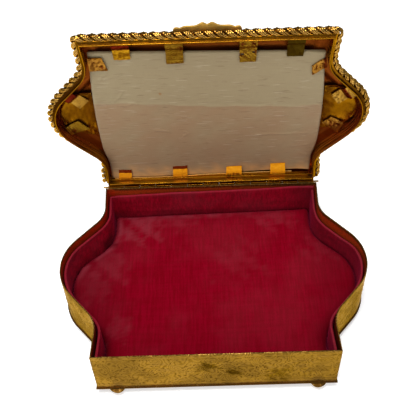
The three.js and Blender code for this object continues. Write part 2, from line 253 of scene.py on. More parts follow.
def shell_of(name: str, surface: Array, around: bool = True) -> Piece:
    """Closes a table of points into a solid skin.

    Args:
        name: Name of the piece.
        surface: Points as (along, across, xyz). The last point across joins the first.
        around: Whether the last row along joins the first too. Otherwise both ends are filled.

    Returns:
        The new closed mesh object.
    """
    surface = np.concatenate([surface, surface[:, :1]], axis=1)
    if around:
        surface = np.concatenate([surface, surface[:1]], axis=0)
    piece = sheet_of(name, surface)
    with editing(piece, "VERT"):
        bpy.ops.mesh.remove_doubles(threshold=SAME_PLACE)
        if not around:
            bpy.ops.mesh.fill_holes(sides=0)
        bpy.ops.mesh.normals_make_consistent(inside=False)
    return piece


def stacked(name: str, levels: Sequence[tuple[Array, float]]) -> Piece:
    """Skins a stack of level outlines into a closed solid."""
    rows = [swept(outline, np.array([height])) for outline, height in levels]
    return shell_of(name, np.concatenate(rows, axis=1).transpose(1, 0, 2), around=False)


def tube_of(name: str, centres: Array, radius: float, sides: int) -> Piece:
    """Makes a closed round wire along a line of points.

    Args:
        name: Name of the wire.
        centres: Points as (count, 3).
        radius: The wire's radius.
        sides: Number of its faces around.

    Returns:
        The new mesh object.
    """
    ahead = np.gradient(centres, axis=0)
    ahead /= np.linalg.norm(ahead, axis=1)[:, None]
    aside = np.cross(ahead, [0.0, 0.0, 1.0])
    aside /= np.linalg.norm(aside, axis=1)[:, None]
    above = np.cross(aside, ahead)
    turn = np.linspace(0, 2 * np.pi, sides, endpoint=False)
    ring = aside[:, None] * np.cos(turn)[None, :, None] + above[:, None] * np.sin(turn)[None, :, None]
    return shell_of(name, centres[:, None] + radius * ring, around=False)


def joined(name: str, parts: Sequence[Piece]) -> Piece:
    """Joins meshes into one piece.

    Args:
        name: Name of the piece.
        parts: The meshes.

    Returns:
        The joined piece.
    """
    lone(parts[0])
    for part in parts[1:]:
        part.select_set(True)
    bpy.ops.object.join()
    parts[0].name = name
    return parts[0]


# ---------------------------------------------------------------- curves and unevenness


def ramp(values: Array, start: float, stop: float) -> Array:
    """Rises evenly from 0 at start to 1 at stop and stays level outside. The start may be the larger."""
    return np.clip((values - start) / (stop - start), 0, 1)


def eased(share: Array) -> Array:
    """Smooths both ends of a ramp."""
    return share * share * (3 - 2 * share)


def ridge(values: Array, middle: float, half: float) -> Array:
    """Peaks at 1 over the middle and falls evenly to 0 at half a width to both sides."""
    return np.clip(1 - np.abs(values - middle) / half, 0, 1)


def dome(away: Array) -> Array:
    """Gives the height of a round bump at a distance from its middle, both in radii."""
    return np.sqrt(np.clip(1 - away**2, 0, 1))


def curved(start: Array, bend: Array, stop: Array, count: int) -> Array:
    """Draws a curve from start to stop that leans towards bend, as (count, 2)."""
    share = np.linspace(0, 1, count)[:, None]
    return (1 - share) ** 2 * start + 2 * share * (1 - share) * bend + share**2 * stop


def travel_along(line: Array, closed: bool = False) -> Array:
    """Measures how far along a line its points lie, and at last the first point again where it is closed."""
    line = np.concatenate([line, line[:1]]) if closed else line
    return np.concatenate([[0.0], np.cumsum(np.linalg.norm(np.diff(line, axis=0), axis=1))])


def read_off(table: Table, places: Array, unit: float = MM) -> Array:
    """Reads a table of pairs at other places, in metres, or in the table's own numbers for a unit of 1."""
    at, values = np.array(table).T * unit
    return np.interp(places, at, values)


def nearest_on(line: Array, spots: Array) -> tuple[Array, Array]:
    """Finds the point of a line that is nearest to each of many spots, a block of them at a time.

    Args:
        line: Points as (count, 2).
        spots: Points as (many, 2).

    Returns:
        The nearest point's number and its distance, for each spot.
    """
    numbers, distances = [], []
    for start in range(0, len(spots), BLOCK):
        away = np.linalg.norm(spots[start : start + BLOCK, None] - line[None], axis=2)
        numbers.append(away.argmin(axis=1))
        distances.append(away.min(axis=1))
    return np.concatenate(numbers), np.concatenate(distances)


def swept(outline: Array, heights: Array) -> Array:
    """Pairs plan points with heights.

    Args:
        outline: Points as (count, 2) or (count, rows, 2).
        heights: Heights as (rows,) or (count, rows).

    Returns:
        Points as (count, rows, 3).
    """
    if outline.ndim == 2:
        outline = np.repeat(outline[:, None], np.shape(heights)[-1], axis=1)
    heights = np.broadcast_to(heights, outline.shape[:2])
    return np.concatenate([outline, heights[..., None]], axis=2)


def banded(outer: Array, inner: Array, across: Array, heights: Array) -> Array:
    """Lays a section along a wall, whose places across are 0 on the outer line and 1 on the inner."""
    return swept(outer[:, None] + (inner - outer)[:, None] * across[None, :, None], heights)


def smooth_noise(places: Array, scale: float, seed: int, octaves: int = 3) -> Array:
    """Sums waves of random heading into a smooth, repeatable unevenness.

    Args:
        places: Points as (..., 2) or (..., 3).
        scale: Size of the largest waves.
        seed: Number that picks the waves.
        octaves: How many halvings of the size are added.

    Returns:
        Values of about -1 to 1, one for each point.
    """
    rng = np.random.default_rng(seed)
    total = np.zeros(places.shape[:-1])
    weight = 1.0
    for octave in range(octaves):
        for _ in range(5):
            heading = rng.normal(size=places.shape[-1])
            heading *= rng.uniform(0.6, 1.4) * 2 * np.pi / (scale * np.linalg.norm(heading))
            total += weight * np.sin(places @ heading + rng.uniform(0, 2 * np.pi)) / 3
        weight /= 2
        scale /= 2.1
    return total


# ---------------------------------------------------------------- plan


@dataclass(frozen=True)
class Plan:
    """Outline of the casket seen from above: straight front and back, and an S-curve to each lobe."""

    front_width: float = 172 * MM
    depth: float = 156.4 * MM
    lobe_reach: float = 114.7 * MM
    lobe_radius: float = 38.4 * MM
    lobe_sweep: float = math.radians(41.5)
    neck_radius: float = 22.1 * MM
    flare: float = math.radians(2.8)
    run_length: float = 0.0234
    corner_length: float = 0.0195
    fewest: int = 6

    @property
    def lobe_x(self) -> float:
        """Distance of the lobe's centre from the middle."""
        return self.lobe_reach - self.lobe_radius

    def neck(self) -> Array:
        """Works out the centre of the neck's arc.

        Returns:
            Its x and y, in the back right quarter.
        """
        sin, cos = math.sin(self.lobe_sweep), math.cos(self.lobe_sweep)
        lobe_end = self.lobe_reach - self.lobe_radius * (1 - cos)
        across = lobe_end - self.neck_radius * (math.cos(self.flare) - cos) - self.front_width / 2
        along = self.depth / 2 - self.lobe_radius * sin - self.neck_radius * (sin + math.sin(self.flare))
        run = (across + math.tan(self.flare) * along) / (sin + math.tan(self.flare) * cos)
        reach = self.lobe_radius + self.neck_radius
        return np.array([self.lobe_x + reach * cos - run * sin, reach * sin + run * cos])

    def flare_x(self, inset: float, y: float) -> float:
        """Gives x on the short straight beside a corner.

        Args:
            inset: Distance inwards from the outline.
            y: Distance from the middle of the depth.

        Returns:
            The distance from the middle of the width.
        """
        neck = self.neck()
        radius = self.neck_radius + inset
        start = neck + radius * np.array([-math.cos(self.flare), math.sin(self.flare)])
        return float(start[0] + (y - start[1]) * math.tan(self.flare))

    @staticmethod
    def arc(centre: Array, radius: float, start: float, stop: float, count: int) -> Array:
        """Traces an arc as (count, 2)."""
        angle = np.linspace(start, stop, count)
        return centre + radius * np.stack([np.cos(angle), np.sin(angle)], axis=1)

    @staticmethod
    def between(start: Array, stop: Array, count: int) -> Array:
        """Divides a straight into equal steps and gives the points without its ends."""
        return start + (stop - start) * np.linspace(0, 1, count + 1)[1:-1, None]

    def side(self, inset: float, end_y: float, spacing: float) -> Array:
        """Traces the right side from front to back.

        Args:
            inset: Distance inwards from the outline.
            end_y: Distance from the middle of the depth at which both ends lie.
            spacing: Aim for the distance between points.

        Returns:
            Points as (count, 2), with one count for every inset.
        """
        sweep, neck_start, neck_stop = self.lobe_sweep, math.pi + self.lobe_sweep, math.pi - self.flare
        end = np.array([self.flare_x(inset, end_y), end_y])
        neck_count = max(int(abs(neck_stop - neck_start) * self.neck_radius / spacing), self.fewest)
        lobe_count = max(int(2 * sweep * self.lobe_radius / spacing), self.fewest)
        back = self.arc(self.neck(), self.neck_radius + inset, neck_start, neck_stop, neck_count)
        lobe = self.arc(np.array([self.lobe_x, 0.0]), self.lobe_radius - inset, -sweep, sweep, lobe_count)
        run = self.between(lobe[-1], back[0], max(int(self.run_length / spacing), 2))
        corner = self.between(back[-1], end, max(int(self.corner_length / spacing), 2))
        half = np.concatenate([run, back, corner, end[None]])
        return np.concatenate([half[::-1] * [1, -1], lobe, half])

    def ring(self, inset: float, spacing: float) -> Array:
        """Traces the whole outline, anticlockwise from the front right corner.

        Args:
            inset: Distance inwards from the outline.
            spacing: Aim for the distance between points.

        Returns:
            Points as (count, 2), with one count for every inset.
        """
        right = self.side(inset, self.depth / 2 - inset, spacing)
        back = self.between(right[-1], right[-1] * [-1, 1], int(self.front_width / spacing))
        half = np.concatenate([right, back])
        return np.concatenate([half, -half])

    @staticmethod
    def outward(line: Array) -> Array:
        """Gives the level normals of a closed anticlockwise line.

        Args:
            line: Points as (count, 2).

        Returns:
            Unit vectors as (count, 2).
        """
        ahead = np.roll(line, -1, axis=0) - np.roll(line, 1, axis=0)
        normal = np.stack([ahead[:, 1], -ahead[:, 0]], axis=1)
        return normal / np.linalg.norm(normal, axis=1)[:, None]


PLAN = Plan()


# ---------------------------------------------------------------- chasing


@dataclass
class Stroke:
    """One raised stem or leaf, drawn on the unrolled metal."""

    line: Array
    start_width: float
    end_width: float
    height: float

    def raise_on(self, places: Array, relief: Array) -> None:
        """Lifts the relief under the stroke.

        Args:
            places: Points on the unrolled metal, as (count, 2).
            relief: Heights at those points, changed in place.
        """
        reach = max(self.start_width, self.end_width)
        low, high = self.line.min(axis=0) - reach, self.line.max(axis=0) + reach
        near = np.flatnonzero(np.all((places > low) & (places < high), axis=1))
        spots = places[near]
        last = len(self.line) - 1
        for step in range(last):
            start, along = self.line[step], self.line[step + 1] - self.line[step]
            share = np.clip((spots - start) @ along / (along @ along), 0, 1)
            away = np.linalg.norm(spots - start - share[:, None] * along, axis=1)
            progress = (step + share) / last
            half = (self.start_width + (self.end_width - self.start_width) * progress) / 2
            relief[near] = np.maximum(relief[near], self.height * dome(away / half))


@dataclass(frozen=True)
class Foliage:
    """Running scroll of stems, leaves and small flowers, chased on the metal."""

    pitch: float = 24.5 * MM
    radius: float = 10.5 * MM
    turns: float = 1.3
    shrink: float = 0.74
    stem_width: float = 1.1 * MM
    height: float = 0.16 * MM
    limit: float = 16.6 * MM
    outer_leaf: float = 6.2 * MM
    inner_leaf: float = 3.4 * MM
    petal: float = 2.6 * MM
    petals: int = 6
    spray_leaf: float = 6.4 * MM
    spray_angles: tuple[float, ...] = (-68, -38, 0, 38, 68)

    def stem_point(self, centre: float, sign: int, share: float) -> Array:
        """Gives a point on a scroll's stem.

        Args:
            centre: Place of the scroll along the metal.
            sign: Whether it rises or falls from its start.
            share: How far along the stem, from 0 to 1.

        Returns:
            The point on the unrolled metal.
        """
        radius = self.radius * (1 - self.shrink * share)
        angle = math.pi * (1 + 2 * self.turns * share)
        return np.array([centre + radius * math.cos(angle), -sign * radius * math.sin(angle)])

    def leaf(self, centre: float, sign: int, share: float, length: float, outward: float) -> Stroke:
        """Draws a leaf that curls off the stem.

        Args:
            centre: Place of the scroll along the metal.
            sign: Whether the scroll rises or falls from its start.
            share: Where on the stem the leaf grows.
            length: The leaf's length.
            outward: 1 for a leaf on the stem's outer side and -1 for one on its inner side.

        Returns:
            The tapering stroke.
        """
        root = self.stem_point(centre, sign, share)
        ahead = self.stem_point(centre, sign, share + 0.02) - root
        ahead /= np.linalg.norm(ahead)
        away = root - np.array([centre, 0.0])
        away *= outward / np.linalg.norm(away)
        bend = root + ahead * length * 0.65 + away * length * 0.1
        tip = root + ahead * length * 0.75 + away * length * 0.8
        return Stroke(curved(root, bend, tip, 6), 0.95 * self.stem_width, 0.25 * MM, self.height * 0.85)

    def scroll(self, centre: float, sign: int) -> list[Stroke]:
        """Draws one scroll with its leaves and flower.

        Args:
            centre: Place of the scroll along the metal.
            sign: Whether it rises or falls from its start.

        Returns:
            Its strokes.
        """
        stem = np.array([self.stem_point(centre, sign, share) for share in np.linspace(0, 1, 34)])
        strokes = [Stroke(stem, self.stem_width, self.stem_width * 0.45, self.height)]
        for share in np.arange(0.03, 0.7, 0.05):
            strokes.append(self.leaf(centre, sign, share, self.outer_leaf * (1 - 0.5 * share), 1))
        for share in np.arange(0.1, 0.7, 0.065):
            strokes.append(self.leaf(centre, sign, share, self.inner_leaf * (1 - 0.4 * share), -1))
        middle = np.array([centre, 0.0])
        for angle in np.arange(self.petals) * 2 * math.pi / self.petals:
            tip = self.petal * np.array([math.cos(angle), math.sin(angle)])
            line = np.array([middle + tip * 0.3, middle + tip])
            strokes.append(Stroke(line, 1.1 * MM, 1.5 * MM, self.height))
        return strokes

    def spray(self, centre: float, side: int) -> list[Stroke]:
        """Draws the small fan of leaves that fills the room between two scrolls.

        Args:
            centre: Place of the fan along the metal.
            side: 1 for the upper edge and -1 for the lower edge.

        Returns:
            Its strokes.
        """
        root = np.array([centre, side * (self.limit - 1.0 * MM)])
        strokes = []
        for angle in np.radians(self.spray_angles):
            length = self.spray_leaf * (1 - 0.25 * abs(angle))
            tip = root + length * np.array([math.sin(angle), -side * math.cos(angle)])
            bend = (root + tip) / 2 + np.array([0.0, -side * 0.9 * MM])
            strokes.append(Stroke(np.array([root, bend, tip]), 1.0 * MM, 1.3 * MM, self.height * 0.7))
        return strokes

    def panel(self, middle: float, count: int) -> list[Stroke]:
        """Draws the running scroll of one panel.

        Args:
            middle: The panel's middle along the metal.
            count: How many scrolls it has.

        Returns:
            All its strokes.
        """
        strokes = []
        for index in range(count):
            centre = middle + (index - (count - 1) / 2) * self.pitch
            strokes += self.scroll(centre, 1 if index % 2 else -1)
        for index in range(count + 1):
            centre = middle + (index - count / 2) * self.pitch
            strokes += self.spray(centre, 1) + self.spray(centre, -1)
        return strokes

    def relief(self, places: Array, panels: Sequence[tuple[float, int]]) -> Array:
        """Works out the chased heights.

        Args:
            places: Points on the unrolled metal, as (count, 2), the second being height above its middle.
            panels: Middle and number of scrolls of each panel.

        Returns:
            One height for each point.
        """
        heights = np.zeros(len(places))
        for middle, count in panels:
            for stroke in self.panel(middle, count):
                stroke.raise_on(places, heights)
        return heights


# ---------------------------------------------------------------- finishes


class Wiring:
    """Short way to wire shader nodes in one tree. An input takes a number, a colour or an output."""

    def __init__(self, tree: bpy.types.NodeTree) -> None:
        """Takes the tree to work on."""
        self.tree = tree

    def feed(self, socket: Socket, value: object) -> None:
        """Links an output to a socket, or sets the socket's own number or colour.

        Args:
            socket: The input.
            value: What it takes.
        """
        if isinstance(value, Socket):
            self.tree.links.new(value, socket)
        else:
            socket.default_value = (*value, 1.0) if socket.type == "RGBA" else value

    def node(self, kind: str, inputs: dict, **settings: object) -> bpy.types.Node:
        """Places a node.

        Args:
            kind: The node's type without its ShaderNode prefix.
            inputs: What its inputs take, by name or number.
            settings: Values for the node's own properties.

        Returns:
            The new node.
        """
        node = self.tree.nodes.new("ShaderNode" + kind)
        for name, value in settings.items():
            setattr(node, name, value)
        for socket, value in inputs.items():
            self.feed(node.inputs[socket], value)
        return node

    def math(self, operation: str, first: object, second: object = 0.0, clamp: bool = False) -> Socket:
        """Works out one sum, such as ADD or MULTIPLY. Clamped, it stays from 0 to 1."""
        return self.node("Math", {0: first, 1: second}, operation=operation, use_clamp=clamp).outputs[0]

    def times(self, first: object, second: object, clamp: bool = False) -> Socket:
        """Multiplies two numbers."""
        return self.math("MULTIPLY", first, second, clamp)

    def plus(self, first: object, second: object, clamp: bool = False) -> Socket:
        """Adds two numbers."""
        return self.math("ADD", first, second, clamp)

    def minus(self, first: object, second: object) -> Socket:
        """Takes the second number from the first."""
        return self.math("SUBTRACT", first, second)

    def blend(self, share: object, first: object, second: object, mode: str = "MIX") -> Socket:
        """Blends two colours, whose sockets are 6 and 7: 0 gives the first and 1 the second."""
        mix = self.node("Mix", {0: share, 6: first, 7: second}, data_type="RGBA", blend_type=mode)
        return mix.outputs[2]

    def remap(self, value: object, start: float, stop: float, low: float = 0.0, high: float = 1.0) -> Socket:
        """Maps the range from start to stop smoothly onto the one from low to high."""
        inputs = dict(enumerate((value, start, stop, low, high)))
        return self.node("MapRange", inputs, interpolation_type="SMOOTHSTEP").outputs[0]

    def noise(self, place: object, scale: object, detail: float, rough: float) -> Socket:
        """Gives noise of a scale for each metre, with so many octaves, the finer ones so strong."""
        inputs = {"Vector": place, "Scale": scale, "Detail": detail, "Roughness": rough}
        return self.node("TexNoise", inputs).outputs[0]

    def grain(self, place: object, factors: Colour, detail: float, rough: float) -> Socket:
        """Gives noise with its own scale along each axis."""
        return self.noise(self.scaled(place, factors), 1.0, detail, rough)

    def scaled(self, place: object, factors: Colour) -> Socket:
        """Stretches coordinates."""
        return self.node("Mapping", {"Vector": place, "Scale": factors}).outputs[0]

    def marks(self, name: str) -> Socket:
        """Reads what mark() wrote on the points."""
        return self.node("Attribute", {}, attribute_name=name).outputs["Fac"]

    def bump(self, height: Socket, strength: float, depth: float) -> Socket:
        """Turns heights into a bent normal."""
        bump = self.node("Bump", {"Strength": strength, "Distance": depth, "Height": height})
        return bump.outputs["Normal"]

    def effect(self, effect: Effect, **inputs: object) -> bpy.types.NodeOutputs:
        """Places an effect's group and gives its outputs."""
        return self.node("Group", inputs, node_tree=effect.group()).outputs


def dressed(name: str, wire: Callable[[Wiring], dict[str, object]]) -> bpy.types.Material:
    """Makes a material, once for each name.

    Args:
        name: Its name.
        wire: Gives what the inputs of its surface shader take, by their names.

    Returns:
        The material.
    """
    if name in bpy.data.materials:
        return bpy.data.materials[name]
    material = bpy.data.materials.new(name)
    material.use_nodes = True
    wiring = Wiring(material.node_tree)
    shader = material.node_tree.nodes["Principled BSDF"]
    for socket, value in wire(wiring).items():
        wiring.feed(shader.inputs[socket], value)
    return material


@dataclass(frozen=True)
class Effect:
    """Shader node group. Its input Place is a vector, and all else is a number."""

    name: str
    inputs: tuple[str, ...]
    wire: Callable[[Wiring, bpy.types.NodeOutputs], dict[str, Socket]]

    def group(self) -> bpy.types.NodeTree:
        """Builds the group, once.

        Returns:
            The group.
        """
        if self.name in bpy.data.node_groups:
            return bpy.data.node_groups[self.name]
        tree = bpy.data.node_groups.new(self.name, "ShaderNodeTree")
        for name in self.inputs:
            kind = "NodeSocketVector" if name == "Place" else "NodeSocketFloat"
            tree.interface.new_socket(name, in_out="INPUT", socket_type=kind)
        wiring = Wiring(tree)
        results = self.wire(wiring, tree.nodes.new("NodeGroupInput").outputs)
        for name in results:
            tree.interface.new_socket(name, in_out="OUTPUT", socket_type="NodeSocketFloat")
        leave = tree.nodes.new("NodeGroupOutput")
        for name, value in results.items():
            wiring.feed(leave.inputs[name], value)
        return tree


def wire_tarnish(wiring: Wiring, given: bpy.types.NodeOutputs) -> dict[str, Socket]:
    """Wires the clouds, specks and fine grain of old gilding.

    Args:
        wiring: Wiring of the group.
        given: Place and Scale.

    Returns:
        Cloud, Speck and Grain.
    """
    place, scale = given["Place"], given["Scale"]
    cloud = wiring.noise(place, wiring.times(scale, 45.0), 4.0, 0.6)
    speck = wiring.noise(place, wiring.times(scale, 420.0), 3.0, 0.7)
    grain = wiring.noise(place, wiring.times(scale, 1500.0), 2.0, 0.6)
    cloud, speck = wiring.remap(cloud, 0.36, 0.66), wiring.remap(speck, 0.6, 0.72)
    return {"Cloud": cloud, "Speck": speck, "Grain": grain}


def wire_matting(wiring: Wiring, given: bpy.types.NodeOutputs) -> dict[str, Socket]:
    """Wires the ground of tiny punch marks and fine curling cuts between chased ornament.

    Args:
        wiring: Wiring of the group.
        given: Place and Pitch.

    Returns:
        Height and Cuts.
    """
    pitch = wiring.math("DIVIDE", 1.0, given["Pitch"])
    punches = wiring.node("TexVoronoi", {"Vector": given["Place"], "Scale": pitch}, feature="F1")
    swirl = wiring.times(wiring.noise(given["Place"], 70.0, 1.5, 0.5), 95.0)
    height = wiring.remap(punches.outputs["Distance"], 0.1, 0.6)
    return {"Height": height, "Cuts": wiring.math("SINE", swirl)}


def wire_pile(wiring: Wiring, given: bpy.types.NodeOutputs) -> dict[str, Socket]:
    """Wires the nap of velvet: long brushed streaks, crushed patches and fine hairs.

    Args:
        wiring: Wiring of the group.
        given: Place.

    Returns:
        Streak, Crush and Hair.
    """
    place = given["Place"]
    lengthwise = wiring.grain(place, (650.0, 45.0, 160.0), 3.0, 0.65)
    crosswise = wiring.grain(place, (30.0, 420.0, 160.0), 3.0, 0.6)
    streak = wiring.plus(wiring.times(lengthwise, 0.72), wiring.times(crosswise, 0.28))
    crush = wiring.remap(wiring.noise(place, 26.0, 4.0, 0.55), 0.4, 0.68)
    hair = wiring.noise(place, 2600.0, 2.0, 0.7)
    return {"Streak": wiring.remap(streak, 0.38, 0.64), "Crush": crush, "Hair": hair}


def wire_slub(wiring: Wiring, given: bpy.types.NodeOutputs) -> dict[str, Socket]:
    """Wires the weave of slub silk: fine threads with short thick places.

    Args:
        wiring: Wiring of the group.
        given: Place, down and across the cloth in metres.

    Returns:
        Thread, Slub, Pull and Shade.
    """
    place = given["Place"]
    weft = wiring.grain(place, (2600.0, 60.0, 1.0), 2.0, 0.5)
    warp = wiring.grain(place, (130.0, 3000.0, 1.0), 2.0, 0.5)
    return {
        "Thread": wiring.plus(wiring.times(weft, 0.6), wiring.times(warp, 0.4)),
        "Slub": wiring.remap(wiring.grain(place, (1150.0, 58.0, 1.0), 1.5, 0.5), 0.655, 0.7),
        "Pull": wiring.remap(wiring.grain(place, (1250.0, 72.0, 1.0), 1.5, 0.5), 0.635, 0.68),
        "Shade": wiring.remap(wiring.grain(place, (22.0, 14.0, 1.0), 4.0, 0.55), 0.3, 0.7),
    }


TARNISH = Effect("tarnish", ("Place", "Scale"), wire_tarnish)
MATTING = Effect("matting", ("Place", "Pitch"), wire_matting)
PILE = Effect("pile", ("Place",), wire_pile)
SLUB = Effect("slub", ("Place",), wire_slub)


@dataclass(frozen=True)
class Brass:
    """Gilt brass: proud places bright, hollows dark, clouded and specked by age, stained, tinted, with
    painted shade.
    """

    name: str
    slot: Slot
    bright: Colour
    dull: Colour
    hollow: Colour
    smooth: float = 0.3
    rough: float = 0.5
    matting: float = 0.0
    pitch: float = 0.7 * MM
    specks: float = 0.4
    metal: float = 1.0
    engraved: float = 0.0
    tint: Colour = (0.25, 0.03, 0.005)
    edge: Colour = (1.0, 0.72, 0.3)
    bloom: float = 0.0
    soot_and_shade: Colour = (0.022, 0.008, 0.002)

    def wire(self, wiring: Wiring) -> dict[str, object]:
        """Wires the metal.

        Args:
            wiring: Wiring of the material.

        Returns:
            What the shader's inputs take.
        """
        place = wiring.node("TexCoord", {}).outputs["Object"]
        aged = wiring.effect(TARNISH, Place=place, Scale=1.0)
        ground = wiring.effect(MATTING, Place=place, Pitch=self.pitch)
        tint = wiring.marks("tint")
        cuts = wiring.times(ground["Cuts"], self.engraved)
        ragged = wiring.plus(wiring.marks("wear_and_light"), wiring.times(wiring.minus(aged["Grain"], 0.5), 0.35))
        proud = wiring.remap(wiring.plus(ragged, wiring.times(cuts, 0.1)), 0.05, 0.6)
        metal = wiring.blend(tint, wiring.blend(aged["Cloud"], self.bright, self.dull), self.tint)
        colour = wiring.blend(proud, self.hollow, metal)
        colour = wiring.blend(wiring.times(aged["Speck"], self.specks), colour, self.hollow)
        spots = wiring.remap(aged["Grain"], 0.3, 0.6, 0.6, 1.0)
        # The stain mark darkens towards the soot colour, for real stains and for painted shade.
        stained_and_shaded = wiring.times(wiring.marks("stain_and_shade"), spots, clamp=True)
        polish = wiring.remap(aged["Cloud"], 0.0, 1.0, self.smooth, self.rough)
        height = wiring.times(ground["Height"], self.matting)
        height = wiring.plus(wiring.plus(height, wiring.times(aged["Grain"], 0.25)), wiring.times(cuts, 0.3))
        dimmed = self.metal * (1 - self.bloom)
        return {
            "Base Color": wiring.blend(stained_and_shaded, colour, self.soot_and_shade),
            "Roughness": wiring.plus(polish, wiring.times(wiring.minus(1.0, proud), 0.2), clamp=True),
            "Metallic": wiring.remap(tint, 0.0, 1.0, self.metal, dimmed) if self.bloom else self.metal,
            "Specular Tint": self.edge,
            "Normal": wiring.bump(height, 0.5, 0.12 * MM),
        }


@dataclass(frozen=True)
class Velvet:
    """Crimson velvet: crushed patches, painted shade, brushed pale nap, and painted sheen on the strips' top
    edges.
    """

    name: str = "crimson velvet"
    slot: Slot = Slot.VELVET
    deep: Colour = (0.15, 0.0002, 0.005)
    bright: Colour = (0.195, 0.0003, 0.009)
    nap_and_sheen: Colour = (0.22, 0.028, 0.042)
    shadow: Colour = (0.07, 0.0001, 0.003)
    crush: float = 0.12

    def wire(self, wiring: Wiring) -> dict[str, object]:
        """Wires the velvet.

        Args:
            wiring: Wiring of the material.

        Returns:
            What the shader's inputs take.
        """
        pile = wiring.effect(PILE, Place=wiring.node("TexCoord", {}).outputs["Object"])
        colour = wiring.blend(pile["Streak"], self.deep, self.bright)
        colour = wiring.blend(wiring.times(pile["Crush"], self.crush), colour, self.nap_and_sheen)
        colour = wiring.blend(wiring.marks("stain_and_shade"), colour, self.shadow)
        height = wiring.plus(wiring.times(pile["Hair"], 0.6), wiring.times(pile["Streak"], 0.5))
        return {
            # The wear mark brushes in the pale nap; on the strips' top edges it is a painted sheen.
            "Base Color": wiring.blend(wiring.marks("wear_and_light"), colour, self.nap_and_sheen),
            "Roughness": 0.95,
            "Specular IOR Level": 0.02,
            "Sheen Weight": 0.1,
            "Sheen Roughness": 0.4,
            "Sheen Tint": (1.0, 0.05, 0.2),
            "Normal": wiring.bump(height, 0.6, 0.3 * MM),
        }


@dataclass(frozen=True)
class Silk:
    """Old slub silk: pale, one stain, painted reflected light past its fold and painted warm light at the
    back edge.
    """

    name: str = "slub silk"
    slot: Slot = Slot.SILK
    pale: Colour = (0.34, 0.27, 0.148)
    tan: Colour = (0.335, 0.215, 0.112)
    stain_and_shade: Colour = (0.3, 0.12, 0.02)
    painted_warm_light: Colour = (0.85, 0.42, 0.12)
    shade: Colour = (0.25, 0.17, 0.09)
    slub: Colour = (0.6, 0.5, 0.36)
    pull: Colour = (0.17, 0.1, 0.05)
    cloth: Colour = (0.134, 0.16, 1.0)

    def wire(self, wiring: Wiring) -> dict[str, object]:
        """Wires the silk.

        Args:
            wiring: Wiring of the material.

        Returns:
            What the shader's inputs take.
        """
        flat = wiring.node("UVMap", {}, uv_map="UVMap").outputs["UV"]
        weave = wiring.effect(SLUB, Place=wiring.scaled(flat, self.cloth))
        # The wear mark blends in the tan, which is painted reflected light from the velvet.
        colour = wiring.blend(wiring.marks("wear_and_light"), self.pale, self.tan)
        colour = wiring.blend(wiring.times(weave["Shade"], 0.16), colour, self.shade)
        threads = wiring.remap(weave["Thread"], 0.35, 0.65, 0.95, 1.03)
        grey = wiring.node("CombineColor", {0: threads, 1: threads, 2: threads}).outputs[0]
        colour = wiring.blend(1.0, colour, grey, "MULTIPLY")
        colour = wiring.blend(wiring.times(weave["Slub"], 0.45), colour, self.slub)
        colour = wiring.blend(wiring.times(weave["Pull"], 0.5), colour, self.pull)
        # The tint mark blends in painted warm light reflected from the brass near the back edge.
        colour = wiring.blend(wiring.marks("tint"), colour, self.painted_warm_light)
        height = wiring.plus(wiring.times(weave["Thread"], 0.5), weave["Slub"])
        return {
            "Base Color": wiring.blend(wiring.marks("stain_and_shade"), colour, self.stain_and_shade),
            "Roughness": 0.62,
            "Specular IOR Level": 0.3,
            "Sheen Weight": 0.15,
            "Sheen Roughness": 0.4,
            "Normal": wiring.bump(height, 0.45, 0.15 * MM),
        }


Finish = Brass | Velvet | Silk

GILT = Brass(
    "gilt brass", Slot.GILT, (0.27, 0.15, 0.034), (0.2, 0.11, 0.023), (0.085, 0.038, 0.006),
    matting=0.8, engraved=1.6, tint=(0.62, 0.045, 0.006), edge=(1.0, 0.75, 0.38), bloom=0.5,
)  # fmt: skip
PLATE = Brass(
    "lid plate brass", Slot.GILT, (0.3, 0.17, 0.034), (0.23, 0.125, 0.023), (0.1, 0.045, 0.006),
    matting=0.8, metal=0.9, tint=(0.2, 0.034, 0.0015),
)  # fmt: skip
INSIDE = Brass(
    "copper toned inside", Slot.GILT, (0.36, 0.13, 0.007), (0.25, 0.08, 0.005), (0.06, 0.015, 0.001),
    0.16, 0.3,
)  # fmt: skip
SKIRT = Brass(
    "skirt brass", Slot.GILT, (0.42, 0.19, 0.008), (0.25, 0.1, 0.005), (0.035, 0.01, 0.001), 0.16, 0.3,
    tint=(0.3, 0.012, 0.008), bloom=0.6,
)  # fmt: skip
ROPE_WIRE = Brass(
    "rope wire", Slot.ROPE, (0.46, 0.26, 0.055), (0.3, 0.155, 0.027), (0.006, 0.002, 0.0005), 0.08, 0.15,
    specks=0.2,
)  # fmt: skip
MATTE = Brass(
    "matte brass", Slot.MATTE, (0.62, 0.38, 0.085), (0.44, 0.27, 0.055), (0.09, 0.04, 0.005), 0.6, 0.7,
    matting=2.0, pitch=1.0 * MM, metal=0.8,
)  # fmt: skip
DARK = Brass(
    "dark brass", Slot.DARK, (0.12, 0.06, 0.012), (0.08, 0.035, 0.006), (0.03, 0.012, 0.002), 0.4, 0.6,
)  # fmt: skip
TAB_GOLD = Brass(
    "tab gold", Slot.TAB, (0.44, 0.22, 0.008), (0.34, 0.16, 0.006), (0.1, 0.03, 0.002), 0.28, 0.42,
    tint=(0.12, 0.01, 0.003),
)  # fmt: skip
TAB_OLIVE = Brass(
    "tab olive", Slot.TAB, (0.3, 0.17, 0.014), (0.23, 0.12, 0.008), (0.06, 0.025, 0.002), 0.35, 0.5,
    tint=(0.1, 0.012, 0.003),
)  # fmt: skip
TAB_PALE = Brass(
    "tab pale gold", Slot.TAB, (0.42, 0.23, 0.035), (0.34, 0.18, 0.025), (0.1, 0.04, 0.004), 0.3, 0.45,
    metal=0.93, tint=(0.1, 0.004, 0.002),
)  # fmt: skip
